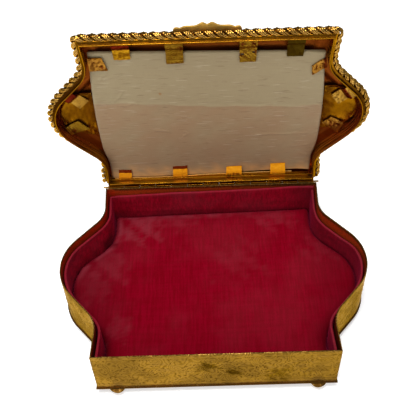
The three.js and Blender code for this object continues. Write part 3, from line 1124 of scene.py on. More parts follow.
TAB_BRONZE = Brass(
    "tab bronze", Slot.TAB, (0.36, 0.17, 0.025), (0.26, 0.11, 0.014), (0.09, 0.025, 0.003), 0.3, 0.45,
    tint=(0.12, 0.02, 0.004),
)  # fmt: skip
# Near-black olive for one front tab: a painted reflection of the dark it faces.
TAB_DARK_PAINTED_REFLECTION = Brass(
    "tab dark olive", Slot.TAB, (0.06, 0.035, 0.003), (0.045, 0.025, 0.002), (0.03, 0.015, 0.002), 0.4, 0.55,
)  # fmt: skip
# Bright, mostly unmetallic orange for the back tabs: a painted reflection of the light they catch.
TAB_ORANGE_PAINTED_REFLECTION = Brass(
    "tab orange", Slot.TAB, (1.0, 0.42, 0.012), (0.9, 0.34, 0.01), (0.3, 0.06, 0.003), 0.2, 0.3,
    metal=0.12, tint=(0.16, 0.02, 0.003),
)  # fmt: skip
LOBE_GOLD = Brass(
    "lobe gold", Slot.GILT, (0.4, 0.18, 0.005), (0.25, 0.1, 0.003), (0.09, 0.03, 0.002), 0.24, 0.38,
)  # fmt: skip
# Light, half-metal gold for the panel's lip: a painted highlight along it.
LIP_PAINTED_HIGHLIGHT = Brass(
    "lip gold", Slot.TAB, (0.95, 0.55, 0.16), (0.8, 0.4, 0.09), (0.3, 0.1, 0.01), 0.25, 0.4, metal=0.35,
)  # fmt: skip
CARD = Brass(
    "buff card", Slot.SILK, (0.3, 0.22, 0.12), (0.25, 0.17, 0.09), (0.15, 0.1, 0.05), 0.8, 0.9, metal=0.0,
)  # fmt: skip
VELVET = Velvet()
# A lighter copy of the velvet for the strips: painted light on their shaded faces.
STRIP_VELVET_PAINTED_LIGHTER = Velvet(
    "crimson velvet strip", deep=(0.23, 0.0002, 0.008), bright=(0.4, 0.0006, 0.018), crush=0.3,
)  # fmt: skip
SILK = Silk()


def hand_over(
    piece: Piece, body: Body, finish: Finish, *nodes: str, crease: float = 40.0, wear_and_light: float | None = 0.7
) -> None:
    """Gives a finished piece its smoothing, material and place among the bodies.

    Args:
        piece: The finished mesh.
        body: The rigid body that carries it.
        finish: What it is made of.
        nodes: CAD nodes that it stands for.
        crease: Angle in degrees past which an edge stays sharp.
        wear_and_light: Mark of wear and painted light for the whole piece, or None where it is marked
            already.
    """
    if wear_and_light is not None and "wear_and_light" not in piece.data.attributes:
        mark(piece, "wear_and_light", wear_and_light)
    lone(piece)
    bpy.ops.object.shade_smooth_by_angle(angle=math.radians(crease))
    piece.data.materials.clear()
    piece.data.materials.append(dressed(finish.name, finish.wire))
    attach(piece, body.value)
    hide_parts(*nodes)
    triangles = sum(len(polygon.vertices) - 2 for polygon in piece.data.polygons)
    LOG.info("%s: %d triangles, %s", piece.name, triangles, finish.name)


# ---------------------------------------------------------------- base


@dataclass
class Casing:
    """Chased wall of the base, its dark plate and its four turned feet.

    Stains are x, z, size and strength. Rows of the inside are inset, drop below the rim and how red it is.
    """

    plan: Plan = PLAN
    rim: float = RIM
    plate: float = 1.2 * MM
    overhang: float = 1 * MM
    feet_x: tuple[float, float] = (-71.8 * MM, 73.3 * MM)
    foot_y: float = 75.3 * MM
    spacing: float = 0.7 * MM
    foliage: Foliage = field(default_factory=Foliage)
    foot_profile: Table = (
        (5.8, 0), (6.3, 0.25), (6.4, 0.7), (6.2, 1.3), (5.6, 1.9), (5.5, 2.3), (5.5, 3.0), (5.1, 3.9),
        (4.4, 4.8), (3.6, 5.6), (2.8, 6.2), (2.2, 6.6),
    )  # fmt: skip
    foot_height: float = 6.6 * MM
    border_lines: tuple[float, ...] = (-18.4 * MM, -17.3 * MM, 17.3 * MM, 18.4 * MM)
    border_height: float = 0.12 * MM
    stains: Table = (
        (-6.6, 27.4, 5.4, 1.0), (-2.6, 29.0, 2.6, 0.7), (11.4, 19.1, 5.2, 1.0), (15.5, 18.2, 3.2, 0.9),
        (44.5, 14.5, 8.0, 0.7), (40.0, 8.0, 5.5, 0.65), (48.5, 7.5, 4.5, 0.7), (52.0, 20.0, 5.5, 0.45),
        (2.5, 24.0, 1.6, 0.9),
    )  # fmt: skip
    inside: Table = (
        (0.25, 0.0, 0.0), (0.65, 0.0, 0.0), (0.9, 0.25, 0.2), (0.9, 1.6, 0.8), (0.9, 3.6, 1.0),
        (0.9, 20, 1.0), (0.9, 42, 1.0),
    )  # fmt: skip

    def wall(self) -> Piece:
        """Shapes the wall, with its foliage, border lines and hammered unevenness.

        Returns:
            The wall.
        """
        outline = self.plan.ring(0.0, self.spacing)
        travel = travel_along(outline, closed=True)
        total, front = travel[-1], self.plan.front_width
        side = total / 2 - front
        panels = [(side / 2, 7), (side + front / 2, 6), (side * 1.5 + front, 7), (total - front / 2, 6)]
        levels = np.linspace(self.plate, self.rim - 0.25 * MM, int((self.rim - self.plate) / self.spacing))
        u, v = np.meshgrid(travel[:-1], levels - (self.plate + self.rim) / 2, indexing="ij")
        places = np.stack([u.ravel(), v.ravel()], axis=1)
        relief = self.foliage.relief(places, panels).reshape(u.shape)
        for line in self.border_lines:
            relief = np.maximum(relief, self.border_height * ridge(v, line, 0.5 * MM))
        beads = np.hypot(np.mod(u, 2.2 * MM) - 1.1 * MM, np.abs(v) - 17.85 * MM) / (0.42 * MM)
        relief = np.maximum(relief, self.border_height * dome(beads))
        dents = 0.07 * MM * smooth_noise(places, 30 * MM, SEED).reshape(u.shape)
        out = np.clip(relief + dents, -0.12 * MM, 0.55 * MM)
        rows = [swept(outline[:, None] + self.plan.outward(outline)[:, None] * out[..., None], levels)]
        for inset, drop, _ in self.inside:
            height = max(self.rim - drop * MM, self.plate)
            rows.append(swept(self.plan.ring(inset * MM, self.spacing), np.array([height])))
        wall = shell_of("base_wall_chased", np.concatenate(rows, axis=1))
        self.mark_wall(wall, relief)
        return wall

    def mark_wall(self, wall: Piece, relief: Array) -> None:
        """Marks hollows, proud places, red, stains and painted shade on the wall.

        Args:
            wall: The wall.
            relief: Chased heights of its outer face, as (along, up).
        """
        blurred = relief.copy()
        for _ in range(3):
            blurred = (np.roll(blurred, 1, 0) + np.roll(blurred, -1, 0) + blurred) / 3
            padded = np.pad(blurred, ((0, 0), (1, 1)), mode="edge")
            blurred = (padded[:, :-2] + padded[:, 2:] + blurred) / 3
        proud = np.clip(0.5 + (relief - blurred) / (0.22 * MM) + relief / (1.4 * MM), 0, 1)
        top = np.full((len(relief), 3), 0.36)
        mark(wall, "wear_and_light", by_table(wall, np.concatenate([proud, top], axis=1), 0.55))
        reds = np.tile([red for _, _, red in self.inside], (len(relief), 1))
        mark(wall, "tint", by_table(wall, np.concatenate([np.zeros_like(relief), reds], axis=1)))
        points = points_of(wall)
        x, y, z = points.T
        on_front = y < -self.plan.depth / 2 + 0.5 * MM
        ragged = 0.45 * smooth_noise(points, 5 * MM, SEED + 3, 4)
        # Painted shade: the front darkens evenly towards the right, where less light falls.
        stain_and_shade = 0.22 * on_front * ramp(x, -70 * MM, 60 * MM)
        # Past the front's ends the whole wall is a little darker.
        stain_and_shade = np.maximum(stain_and_shade, 0.2 * (np.abs(x) > self.plan.front_width / 2 - 1 * MM))
        for spot_x, spot_z, size, strength in self.stains:
            away = np.hypot(x - spot_x * MM, z - spot_z * MM) / (size * MM)
            stain_and_shade = np.maximum(stain_and_shade, on_front * strength * np.clip(1.45 - away + ragged, 0, 1))
        # Painted shade on the inner face of the wall towards its front.
        inner = (np.arange(len(points)) >= relief.size) & (z < self.rim - 1 * MM)
        mark(wall, "stain_and_shade", np.maximum(stain_and_shade, 0.9 * inner * ramp(y, -44 * MM, -52 * MM)))

    def floor_plate(self) -> Piece:
        """Shapes the plate under the wall, with eased edges.

        Returns:
            The plate.
        """
        ease = 0.3 * MM
        section = ((2.5 * MM, 0.0), (ease, 0.0), (0.0, ease), (0.0, self.plate - ease), (ease, self.plate))
        levels = [(self.plan.ring(inset - self.overhang, 1.6 * MM), height) for inset, height in section]
        return stacked("base_plate_eased", levels)

    def feet(self) -> dict[str, Piece]:
        """Turns one foot and copies it to the four corners.

        Returns:
            The feet by the names of the nodes that they stand for.
        """
        circle, radius = bpy.ops.mesh.primitive_circle_add, self.foot_profile[0][0] * MM
        foot = added("foot", circle, vertices=40, radius=radius, fill_type="NGON", location=(0, 0, 0))
        with editing(foot):
            for (before, high), (after, low) in zip(self.foot_profile, self.foot_profile[1:]):
                bpy.ops.mesh.extrude_region_move(TRANSFORM_OT_translate={"value": (0, 0, (high - low) * MM)})
                ratio = after / before
                bpy.ops.transform.resize(value=(ratio, ratio, 1), center_override=(0, 0, -low * MM))
            bpy.ops.mesh.inset(thickness=0.9 * MM)
            bpy.ops.mesh.select_all(action="SELECT")
            bpy.ops.mesh.normals_make_consistent(inside=False)
        feet = {}
        for end, y in (("front", -self.foot_y), ("back", self.foot_y)):
            for side, x in zip(("left", "right"), self.feet_x):
                copy = foot.copy()
                copy.data = foot.data.copy()
                bpy.context.collection.objects.link(copy)
                copy.name = f"turned_foot_{end}_{side}"
                copy.location = (x, y, 0)
                copy.location = (x, y, 0)
                settle(copy)
                mark(copy, "wear_and_light", np.clip(0.16 - 0.5 * points_of(copy)[:, 2] / self.foot_height, 0, 1))
                feet[f"foot_{end}_{side}"] = copy
        bpy.data.objects.remove(foot)
        return feet

    def build(self) -> None:
        """Builds and dresses every piece of the casing."""
        hand_over(self.wall(), Body.BASE, GILT, "base_wall", wear_and_light=None)
        # The plate's dark brass is painted shade: its edge lies in shadow.
        hand_over(self.floor_plate(), Body.BASE, DARK, "base_plate")
        for node, foot in self.feet().items():
            hand_over(foot, Body.BASE, GILT, node, crease=50)


@dataclass
class Lining:
    """Velvet inside the base: a strip on each side and a thin cushion on the floor.

    The sags are how far a strip's top edge stands above its usual height, along it. Puffs are x, y, size and
    height, and brushed patches are x, y, size and strength.
    """

    plan: Plan = PLAN
    gap: float = 0.3 * MM
    outer: float = 2.3 * MM
    thick: float = 1.8 * MM
    bottom: float = 1.5 * MM
    top: float = RIM - 5 * MM
    pad_top: float = 18 * MM
    pad_roll: float = 2.0 * MM
    front_sag: Table = ((-85, -1.0), (85, -1.0))
    back_sag: Table = (
        (-85, -3.0), (-76, -1.0), (-26, 0.6), (18, 1.6), (50, 2.8), (64, 3.8), (85, 3.4),
    )  # fmt: skip
    left_sag: Table = (
        (-78, -1.2), (-55, -1.4), (-46, -3.6), (-36, -4.6), (-24, -4.4), (-14, -2.2), (0, -0.8), (30, -1.0),
        (55, -2.4), (78, -3.4),
    )  # fmt: skip
    right_sag: Table = (
        (-78, -1.2), (-56, -1.4), (-47, -3.4), (-36, -4.6), (-20, -4.4), (-8, -2.0), (3, -0.6), (14, -1.5),
        (27, -4.2), (38, -4.4), (48, -2.6), (57, 1.0), (78, 0.5),
    )  # fmt: skip
    voxel: float = 3.6 * MM
    swell_limit: float = 0.9 * MM
    swell_frames: int = 20
    lean: float = 2.4 * MM
    puffs: Table = ((-98, 16, 20, 3.6), (-66, 62, 16, -1.2), (96, 20, 20, 1.4))
    pressed: float = 0.95
    brushed: Table = (
        (-58, 62, 18, 0.5), (-84, 18, 16, 0.25), (-92, -4, 14, 0.15), (-30, 66, 14, 0.25),
        (52, 66, 16, 0.25), (84, 30, 14, 0.15), (-72, -40, 10, 0.25), (20, 20, 18, 0.15),
    )  # fmt: skip

    def strip(self, name: str, outer: Array, inner: Array, sag: Array, seed: int) -> Piece:
        """Wraps velvet over a card strip with a rolled top edge.

        Args:
            name: Name of the strip.
            outer: Plan points of its outer face.
            inner: Plan points of its inner face, as many.
            sag: How far its top edge stands above its usual height at each point.
            seed: Picks its unevenness.

        Returns:
            The strip.
        """
        rise, roll, foot = 0.8 * MM, np.linspace(0, math.pi, 9), self.bottom + 0.3 * MM
        up = np.linspace(self.bottom + 3 * MM, self.top - rise - 0.4 * MM, 6)
        down = np.linspace(self.top - rise - 1.2 * MM, self.bottom + 1.6 * MM, 20)
        crown = self.top - rise + rise * np.sin(roll)
        over = (1 - np.cos(roll)) / 2
        across = np.concatenate([np.zeros(1 + len(up)), over, np.ones(len(down) + 1), [0.85, 0.15]])
        heights = np.concatenate([[foot], up, crown, down, [foot, self.bottom, self.bottom]])
        surface = banded(outer, inner, across, heights)
        travel = travel_along(inner)
        u, v = np.meshgrid(travel, heights, indexing="ij")
        uneven = 0.13 * MM * smooth_noise(np.stack([u, v * 1.6], axis=2), 26 * MM, seed)
        ease = across * ramp(heights, self.bottom, self.bottom + 8 * MM)
        inward = (inner - outer) / np.linalg.norm(inner - outer, axis=1)[:, None]
        surface[..., :2] += inward[:, None] * (uneven * ease)[..., None]
        wavy = sag + 0.25 * MM * smooth_noise(np.stack([travel, travel * 0], axis=1), 60 * MM, seed + 1)
        surface[..., 2] += wavy[:, None] * ramp(heights, self.pad_top, self.top)
        strip = shell_of(name, surface, around=False)
        # Painted sheen: the rolled top edge, where light catches the pile, is marked pale.
        nap_and_sheen = np.exp(-(((heights - self.top) / (0.8 * MM)) ** 2))
        wear_and_light_values = by_table(strip, np.tile(nap_and_sheen, (len(outer), 1)))
        mark(strip, "wear_and_light", 0.08 + wear_and_light_values * (0.24 if name.endswith("left") else 0.32))
        x, y, z = points_of(strip).T / MM
        pad = self.pad_top / MM
        # Painted shade: darker low down beside the cushion, less so towards the left, and darker on the
        # right strip than the left.
        low = 0.6 * ramp(z, pad + 3, pad) * ramp(x, -130, -40)
        shade = 0.24 + 0.44 * ramp(x, 60, 80) - 0.24 * ramp(x, -60, -80)
        # Painted shadow in the back left corner, and painted shade dimming the left strip's top edge.
        corner_shadow = 0.9 * np.clip(1.6 - np.hypot(x + 84, y - 44) / 7, 0, 1) * ramp(z, 27, 19)
        dull = 0.5 * wear_and_light_values * ramp(x, -70, -82)
        mark(strip, "stain_and_shade", np.maximum.reduce([low, shade, corner_shadow, dull]))
        return strip

    def strips(self) -> dict[str, Piece]:
        """Makes the four strips.

        Returns:
            The strips by the names of the nodes that they stand for.
        """
        inset = self.outer + self.thick
        end_x = self.plan.flare_x(self.outer, self.plan.depth / 2 - self.outer) - self.gap
        run = np.linspace(-end_x, end_x, 160)
        made = {}
        for name, sign, table in (("front", -1, self.front_sag), ("back", 1, self.back_sag)):
            outer = np.stack([run, np.full_like(run, sign * (self.plan.depth / 2 - self.outer))], axis=1)
            inner, sag = outer - [0, sign * self.thick], read_off(table, run)
            made[f"liner_{name}"] = self.strip(f"velvet_strip_{name}", outer, inner, sag, SEED + 10 + sign)
        end_y = self.plan.depth / 2 - inset - self.gap
        outer = self.plan.side(self.outer, end_y, 1.1 * MM)
        inner = self.plan.side(inset, end_y, 1.1 * MM)
        for name, sign, table in (("right", 1, self.right_sag), ("left", -1, self.left_sag)):
            sag, seed = read_off(table, sign * outer[:, 1]), SEED + 20 + sign
            made[f"liner_{name}"] = self.strip(f"velvet_strip_{name}", sign * outer, sign * inner, sag, seed)
        return made

    def cushion(self) -> Piece:
        """Sews the thin floor cushion, swells it and brushes its pile.

        Returns:
            The cushion.
        """
        inset, roll, top = self.outer + self.thick + self.gap, self.pad_roll, self.pad_top
        section = (
            (0.9 * MM, self.bottom), (0.0, self.bottom + 0.9 * MM), (0.0, top - roll),
            (0.35 * roll, top - 0.5 * roll), (roll, top),
        )  # fmt: skip
        levels = [(self.plan.ring(inset + more, 3 * MM), z - 0.4 * MM * (z > 5 * MM)) for more, z in section]
        cushion = stacked("velvet_cushion", levels)
        with_modifier(cushion, "REMESH", mode="VOXEL", voxel_size=self.voxel)
        self.swell(cushion)
        with_modifier(cushion, "SUBSURF", levels=2, render_levels=2)
        self.trim(cushion, inset)
        return cushion

    def swell(self, cushion: Piece) -> None:
        """Blows the cushion up with a cloth simulation and caps how far it may move.

        Args:
            cushion: The remeshed cushion.
        """
        before = points_of(cushion)
        group = cushion.vertex_groups.new(name="glued")
        group.add([i for i, p in enumerate(before) if p[2] < 3 * MM], 1.0, "ADD")
        cloth = cushion.modifiers.new("Cloth", "CLOTH")
        cloth.settings.use_pressure = True
        cloth.settings.uniform_pressure_force = 4.0
        cloth.settings.vertex_group_mass = "glued"
        cloth.settings.effector_weights.gravity = 0.0
        cloth.settings.quality = 6
        cloth.collision_settings.use_self_collision = False
        scene = bpy.context.scene
        scene.frame_start, scene.frame_end = 1, self.swell_frames
        for frame in range(1, self.swell_frames + 1):
            scene.frame_set(frame)
        lone(cushion)
        bpy.ops.object.modifier_apply(modifier=cloth.name)
        scene.frame_set(1)
        moved = points_of(cushion) - before
        length = np.linalg.norm(moved, axis=1)
        share = np.minimum(1, self.swell_limit / np.maximum(length, 1e-9))
        move_points(cushion, before + moved * share[:, None])

    def trim(self, cushion: Piece, inset: float) -> None:
        """Keeps the cushion off its neighbours and gives its face a soft unevenness.

        Args:
            cushion: The swollen cushion.
            inset: Distance of its side from the outline.
        """
        points = points_of(cushion)
        outline = self.plan.ring(inset, 0.5 * MM)
        nearest, from_side = nearest_on(outline, points[:, :2])
        normal = self.plan.outward(outline)[nearest]
        past = np.einsum("ij,ij->i", points[:, :2] - outline[nearest], normal)
        points[:, :2] -= normal * np.maximum(past, 0)[:, None]
        x, y, z = points.T
        lift = 0.22 * MM * ramp(from_side, 1 * MM, 10 * MM) * smooth_noise(points[:, :2], 46 * MM, SEED + 31)
        lift += x / self.plan.lobe_reach * self.lean
        for puff_x, puff_y, size, height in self.puffs:
            spread = np.hypot(x - puff_x * MM, y - puff_y * MM) / (size * MM)
            lift += height * MM * np.exp(-(spread**2))
        points[:, 2] = np.clip(z + lift * (z > 9 * MM), self.bottom, self.pad_top + 3.4 * MM)
        move_points(cushion, points)
        self.brush(cushion, points, from_side)

    def brush(self, cushion: Piece, points: Array, from_side: Array) -> None:
        """Brushes the cushion's pile and paints shade into its creases, hollows, lobes and front.

        Args:
            cushion: The finished cushion.
            points: Its points.
            from_side: Distance of each point from the line of its side.
        """
        ragged = 0.5 * smooth_noise(points[:, :2], 16 * MM, SEED + 33, 4)
        x, y = points[:, :2].T / MM
        edge = from_side / MM
        patch = np.zeros(len(points))
        for patch_x, patch_y, size, strength in self.brushed:
            away = np.hypot(x - patch_x, y - patch_y) / size
            patch = np.maximum(patch, strength * np.clip(1.2 - away + ragged, 0, 1))
        band = ridge(edge, 5, 5) * np.clip(0.75 + ragged, 0, 1)
        upper_left = ramp(y - x, 20, 80) * ramp(y, -2, 16)
        mark(cushion, "wear_and_light", np.maximum(patch, 0.7 * band * upper_left))
        # Painted shade: darker in the lobes and towards the front, along the side crease, in the back left
        # corner and by the front lobes' walls.
        wall_shade = 0.4 * ramp(np.abs(x), 62, 92) + 0.2 * ramp(y, -10, -70)
        corner_shadow = 0.9 * np.clip(1.5 - np.hypot(x + 82, y - 42) / 5, 0, 1)
        crease = 0.65 * ramp(edge, 2, 0)
        near_front = ramp(y, 14, -6) * ramp(np.abs(x), 50, 62)
        hollow = 0.75 * near_front * np.clip(1.25 - edge / 11, 0, 1)
        mark(cushion, "stain_and_shade", np.maximum.reduce([wall_shade, crease, corner_shadow, hollow]))

    def build(self) -> None:
        """Builds and dresses the lining."""
        for node, strip in self.strips().items():
            hand_over(strip, Body.BASE, STRIP_VELVET_PAINTED_LIGHTER, node, crease=70, wear_and_light=None)
            if node == "liner_back":
                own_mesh(strip)
        cushion = self.cushion()
        hand_over(cushion, Body.BASE, VELVET, "floor_pad", crease=80, wear_and_light=None)


# ---------------------------------------------------------------- hinge and lid


@dataclass
class LidPose:
    """Where the lid stands at rest: pieces are drawn with it shut and then swung up about the hinge."""

    pivot: Vector
    angle: float

    @classmethod
    def from_frame(cls, frame: dict) -> "LidPose":
        """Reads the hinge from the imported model."""
        joint = next(j for j in frame["joints"] if j["name"] == "lid_hinge")
        return cls(Vector(joint["pos_m"]), -math.radians(max(joint["range_deg"])))

    def swing(self, piece: Piece) -> Piece:
        """Swings a piece up with the lid and keeps its place in its mesh.

        Args:
            piece: A piece drawn with the lid shut.

        Returns:
            The same piece.
        """
        there, back = Matrix.Translation(self.pivot), Matrix.Translation(-self.pivot)
        piece.matrix_world = there @ Matrix.Rotation(self.angle, 4, "X") @ back @ piece.matrix_world
        settle(piece)
        return piece


@dataclass
class PinHinge:
    """Full-width hinge: a leaf on the base, a leaf on the lid, alternating knuckles and one pin."""

    pose: LidPose
    half_depth: float = PLAN.depth / 2
    barrel_half: float = 84 * MM
    pin_half: float = 88 * MM
    knuckle_radius: float = 1.2 * MM
    bore: float = 0.8 * MM
    pin_radius: float = 0.65 * MM
    knuckles: int = 13
    around: int = 24
    gap: float = 0.3 * MM
    leaf: float = 0.7 * MM
    leaf_ease: float = 0.15 * MM
    leaf_low: float = RIM - 8 * MM
    skirt_inset: float = 2.8 * MM

    @property
    def pitch(self) -> float:
        """Distance from one knuckle to the next."""
        return (2 * self.barrel_half + self.gap) / self.knuckles

    def knuckle(self, start: float) -> Piece:
        """Rolls one knuckle round the pin.

        Args:
            start: Its left end.

        Returns:
            The knuckle.
        """
        stop, ease = start + self.pitch - self.gap, 0.25 * MM
        section = (
            (start + ease, self.knuckle_radius), (stop - ease, self.knuckle_radius),
            (stop, self.knuckle_radius - ease), (stop, self.bore),
            (start, self.bore), (start, self.knuckle_radius - ease),
        )  # fmt: skip
        turn = np.linspace(0, 2 * np.pi, self.around, endpoint=False)
        surface = np.zeros((self.around, len(section), 3))
        for index, (x, radius) in enumerate(section):
            surface[:, index, 0] = x
            surface[:, index, 1] = self.pose.pivot.y + radius * np.cos(turn)
            surface[:, index, 2] = self.pose.pivot.z + radius * np.sin(turn)
        return shell_of("knuckle", surface)

    def strip(self, low: Sequence[float], high: Sequence[float]) -> Piece:
        """Cuts a flat strip of sheet with eased edges.

        Args:
            low: Its lowest corner.
            high: Its highest corner.

        Returns:
            The strip.
        """
        middle, size = np.add(low, high) / 2, np.subtract(high, low)
        piece = added("strip", bpy.ops.mesh.primitive_cube_add, size=1, location=middle, scale=size)
        with_modifier(piece, "BEVEL", width=self.leaf_ease, segments=2)
        return piece

    def base_leaf(self) -> Piece:
        """Makes the leaf on the base with its knuckles and the feet that carry them.

        Returns:
            The leaf.
        """
        y, z = self.pose.pivot.y, self.pose.pivot.z
        half, back = self.barrel_half, self.half_depth + self.gap
        parts = [self.strip((-half, back, self.leaf_low), (half, back + self.leaf, z - 1.6 * MM))]
        for index in range(0, self.knuckles, 2):
            start = -self.barrel_half + index * self.pitch
            under = z - self.bore - self.gap / 2
            stop = start + self.pitch - self.gap
            parts.append(self.strip((start, back, under - self.leaf), (stop, y, under)))
            parts.append(self.knuckle(start))
        return joined("hinge_leaf_on_base", parts)

    def lid_leaf(self) -> Piece:
        """Makes the leaf on the lid with its knuckles and the feet that carry them.

        Returns:
            The leaf, swung up with the lid.
        """
        y, z = self.pose.pivot.y, self.pose.pivot.z
        low = z + self.knuckle_radius + self.gap
        near = self.half_depth - self.skirt_inset + self.gap
        half = self.barrel_half
        parts = [self.strip((-half, near, low), (half, y + self.leaf, low + self.leaf))]
        for index in range(1, self.knuckles, 2):
            start = -self.barrel_half + index * self.pitch
            parts.append(self.strip((start, y, z + self.bore + self.gap / 2),
                                    (start + self.pitch - self.gap, y + self.leaf, low + self.leaf / 2)))
            parts.append(self.knuckle(start))
        return self.pose.swing(joined("hinge_leaf_on_lid", parts))

    def pin(self) -> Piece:
        """Cuts the pin and rounds its ends.

        Returns:
            The pin.
        """
        pin = added(
            "hinge_wire_pin", bpy.ops.mesh.primitive_cylinder_add, vertices=20, radius=self.pin_radius,
            depth=2 * self.pin_half, location=self.pose.pivot, rotation=(0, math.pi / 2, 0),
        )  # fmt: skip
        sharp = math.radians(50)
        with_modifier(pin, "BEVEL", width=0.25 * MM, segments=3, limit_method="ANGLE", angle_limit=sharp)
        return pin

    def build(self) -> None:
        """Builds and dresses the hinge."""
        # The leaves' low wear mark darkens them: painted shade on the hinge barrel.
        hand_over(self.base_leaf(), Body.BASE, INSIDE, "hinge_leaf_base", wear_and_light=0.35)
        hand_over(self.lid_leaf(), Body.LID, INSIDE, "hinge_leaf_lid", wear_and_light=0.35)
        hand_over(self.pin(), Body.BASE, ROPE_WIRE, "hinge_pin", wear_and_light=0.9)


@dataclass
class LidShell:
    """Skirt and top plate of the lid, which leave a tray that the silk panel lies in."""

    pose: LidPose
    plan: Plan = PLAN
    inset: float = 2.8 * MM
    plate_inset: float = 2.8 * MM
    sheet: float = 0.9 * MM
    skirt_low: float = RIM - 1.0 * MM
    back_drop: float = 1.6 * MM
    skirt_high: float = RIM + 8 * MM
    plate_low: float = RIM + 8.3 * MM
    field_inset: float = 11 * MM
    field_rise: float = 1.6 * MM
    field_slope: float = 2 * MM
    spacing: float = 0.9 * MM
    moulding: Table = (
        (2.8, 7.0), (1.2, 5.6), (0.7, 4.4), (0.6, 3.4), (0.7, 2.3), (1.0, 2.0), (1.5, 1.75), (1.0, 1.5),
        (0.8, 1.15), (1.0, 0.8), (1.8, 0.6), (2.6, 0.4),
    )  # fmt: skip
    inner_lines: Table = (
        (0.96, 0.9), (1.1, 1.3), (1.1, 1.8), (1.0, 2.2), (1.0, 3.2), (1.16, 3.5), (1.16, 4.0), (1.0, 4.3),
        (1.0, 5.2), (1.14, 5.5), (1.14, 6.0), (1.0, 6.3),
    )  # fmt: skip
    roll: float = 0.18 * MM
    foliage: Foliage = field(
        default_factory=lambda: Foliage(33 * MM, 12.5 * MM, stem_width=1.8 * MM, height=0.4 * MM)
    )

    def skirt(self) -> Piece:
        """Bends the skirt, whose free edge is rolled and a little wavy.

        Returns:
            The skirt, swung up.
        """
        outer = self.plan.ring(self.inset, self.spacing)
        inner = self.plan.ring(self.inset + self.sheet, self.spacing)
        section = [(0.0, self.skirt_high)]
        for inset, height in self.moulding:
            section.append(((inset * MM - self.inset) / self.sheet, RIM + height * MM))
        for angle in np.linspace(0, math.pi, 9):
            width = 0.5 + self.roll / self.sheet * math.sin(angle) ** 2
            height = self.skirt_low + 0.55 * MM * (1 - math.sin(angle))
            section.append((0.5 - width * math.cos(angle), height))
        section += [(share, self.skirt_low + height * MM) for share, height in self.inner_lines]
        section += [(1.0, RIM + 7 * MM), (1.0, self.skirt_high)]
        across, heights = np.array(section).T
        surface = banded(outer, inner, across, heights)
        travel = travel_along(outer, closed=True)[1:]
        angle = travel / travel[-1] * 2 * np.pi
        wave = smooth_noise(np.stack([np.cos(angle), np.sin(angle)], axis=1), 0.55, SEED + 40)
        low = ramp(heights, RIM + 0.6 * MM, RIM - 0.6 * MM)
        backward = np.clip(outer[:, 1] / self.plan.depth + 0.5, 0, 1)
        surface[..., 2] += (0.12 * MM * wave - self.back_drop * backward)[:, None] * low
        skirt = shell_of("lid_skirt_rolled", surface)
        # Towards the lobes the outer moulding is darker, and the inner face is darker and redder as painted
        # shade.
        side = np.clip(1.2 - np.abs(outer[:, 1]) / (62 * MM), 0, 1)[:, None]
        inset = (across * self.sheet + self.inset) / MM
        groove = np.interp(inset, [0.8, 1.5, 2.8], [0.55, 0.1, 0.3])
        wear_and_light_values = np.where(across < 0, groove * (1 - 0.8 * side), np.where(across > 1, 0.95, 0.15))
        wear_and_light_values = np.maximum(wear_and_light_values, 0.42 * ramp(heights, self.skirt_low + 0.7 * MM, self.skirt_low + 0.3 * MM))
        wear_and_light_values = np.where(across == 1, 0.95 - 0.6 * side, wear_and_light_values)
        mark(skirt, "wear_and_light", by_table(skirt, wear_and_light_values))
        mark(skirt, "tint", by_table(skirt, 0.9 * side * ((across >= 0.96) & (across <= 1))))
        return self.pose.swing(skirt)

    def ledge(self) -> Piece:
        """Folds the narrow lip that holds the panel's back edge, with a painted highlight along it.

        Returns:
            The lip, swung up.
        """
        back = self.plan.depth / 2 - self.inset - self.sheet
        run = np.linspace(-78 * MM, 66 * MM, 120)
        wave = 0.18 * MM * smooth_noise(run[:, None] * [1.0, 0.0], 38 * MM, SEED + 41)
        wave -= 2.0 * MM * ramp(run, 25 * MM, -45 * MM)
        section = ((0.05, 5.3), (-0.7, 5.1), (-1.0, 5.35), (-0.7, 5.6), (0.05, 5.8))
        surface = np.zeros((len(run), len(section), 3))
        for index, (out, height) in enumerate(section):
            y, z = np.full_like(run, back + out * MM), RIM + height * MM + wave
            surface[:, index] = np.stack([run, y, z], axis=1)
        return self.pose.swing(shell_of("panel_lip", surface, around=False))

    def chased(self, spots: Array, inset: Array, along: Array) -> Array:
        """Chases scrolls, a row of pearls and border lines into the plate.

        Args:
            spots: Plan points.
            inset: Distance of each from the outline.
            along: How far along the outline each lies.

        Returns:
            How far each stands up.
        """
        relief = np.zeros(len(spots))
        for row, count in ((-36 * MM, 3), (0.0, 5), (36 * MM, 3)):
            local = spots - [0, row]
            near = (np.abs(local[:, 1]) < 18 * MM) & (inset > 15 * MM)
            relief[near] = np.maximum(relief[near], self.foliage.relief(local[near], [(0.0, count)]))
        relief *= ramp(inset, 15 * MM, 17 * MM)
        pearls = np.hypot(np.mod(along, 3.4 * MM) - 1.7 * MM, inset - 7.4 * MM) / (1.1 * MM)
        relief = np.maximum(relief, 0.5 * MM * dome(pearls))
        for line in (4.6 * MM, 9.6 * MM, 14.2 * MM):
            relief = np.maximum(relief, 0.3 * MM * ridge(inset, line, 0.7 * MM))
        return relief

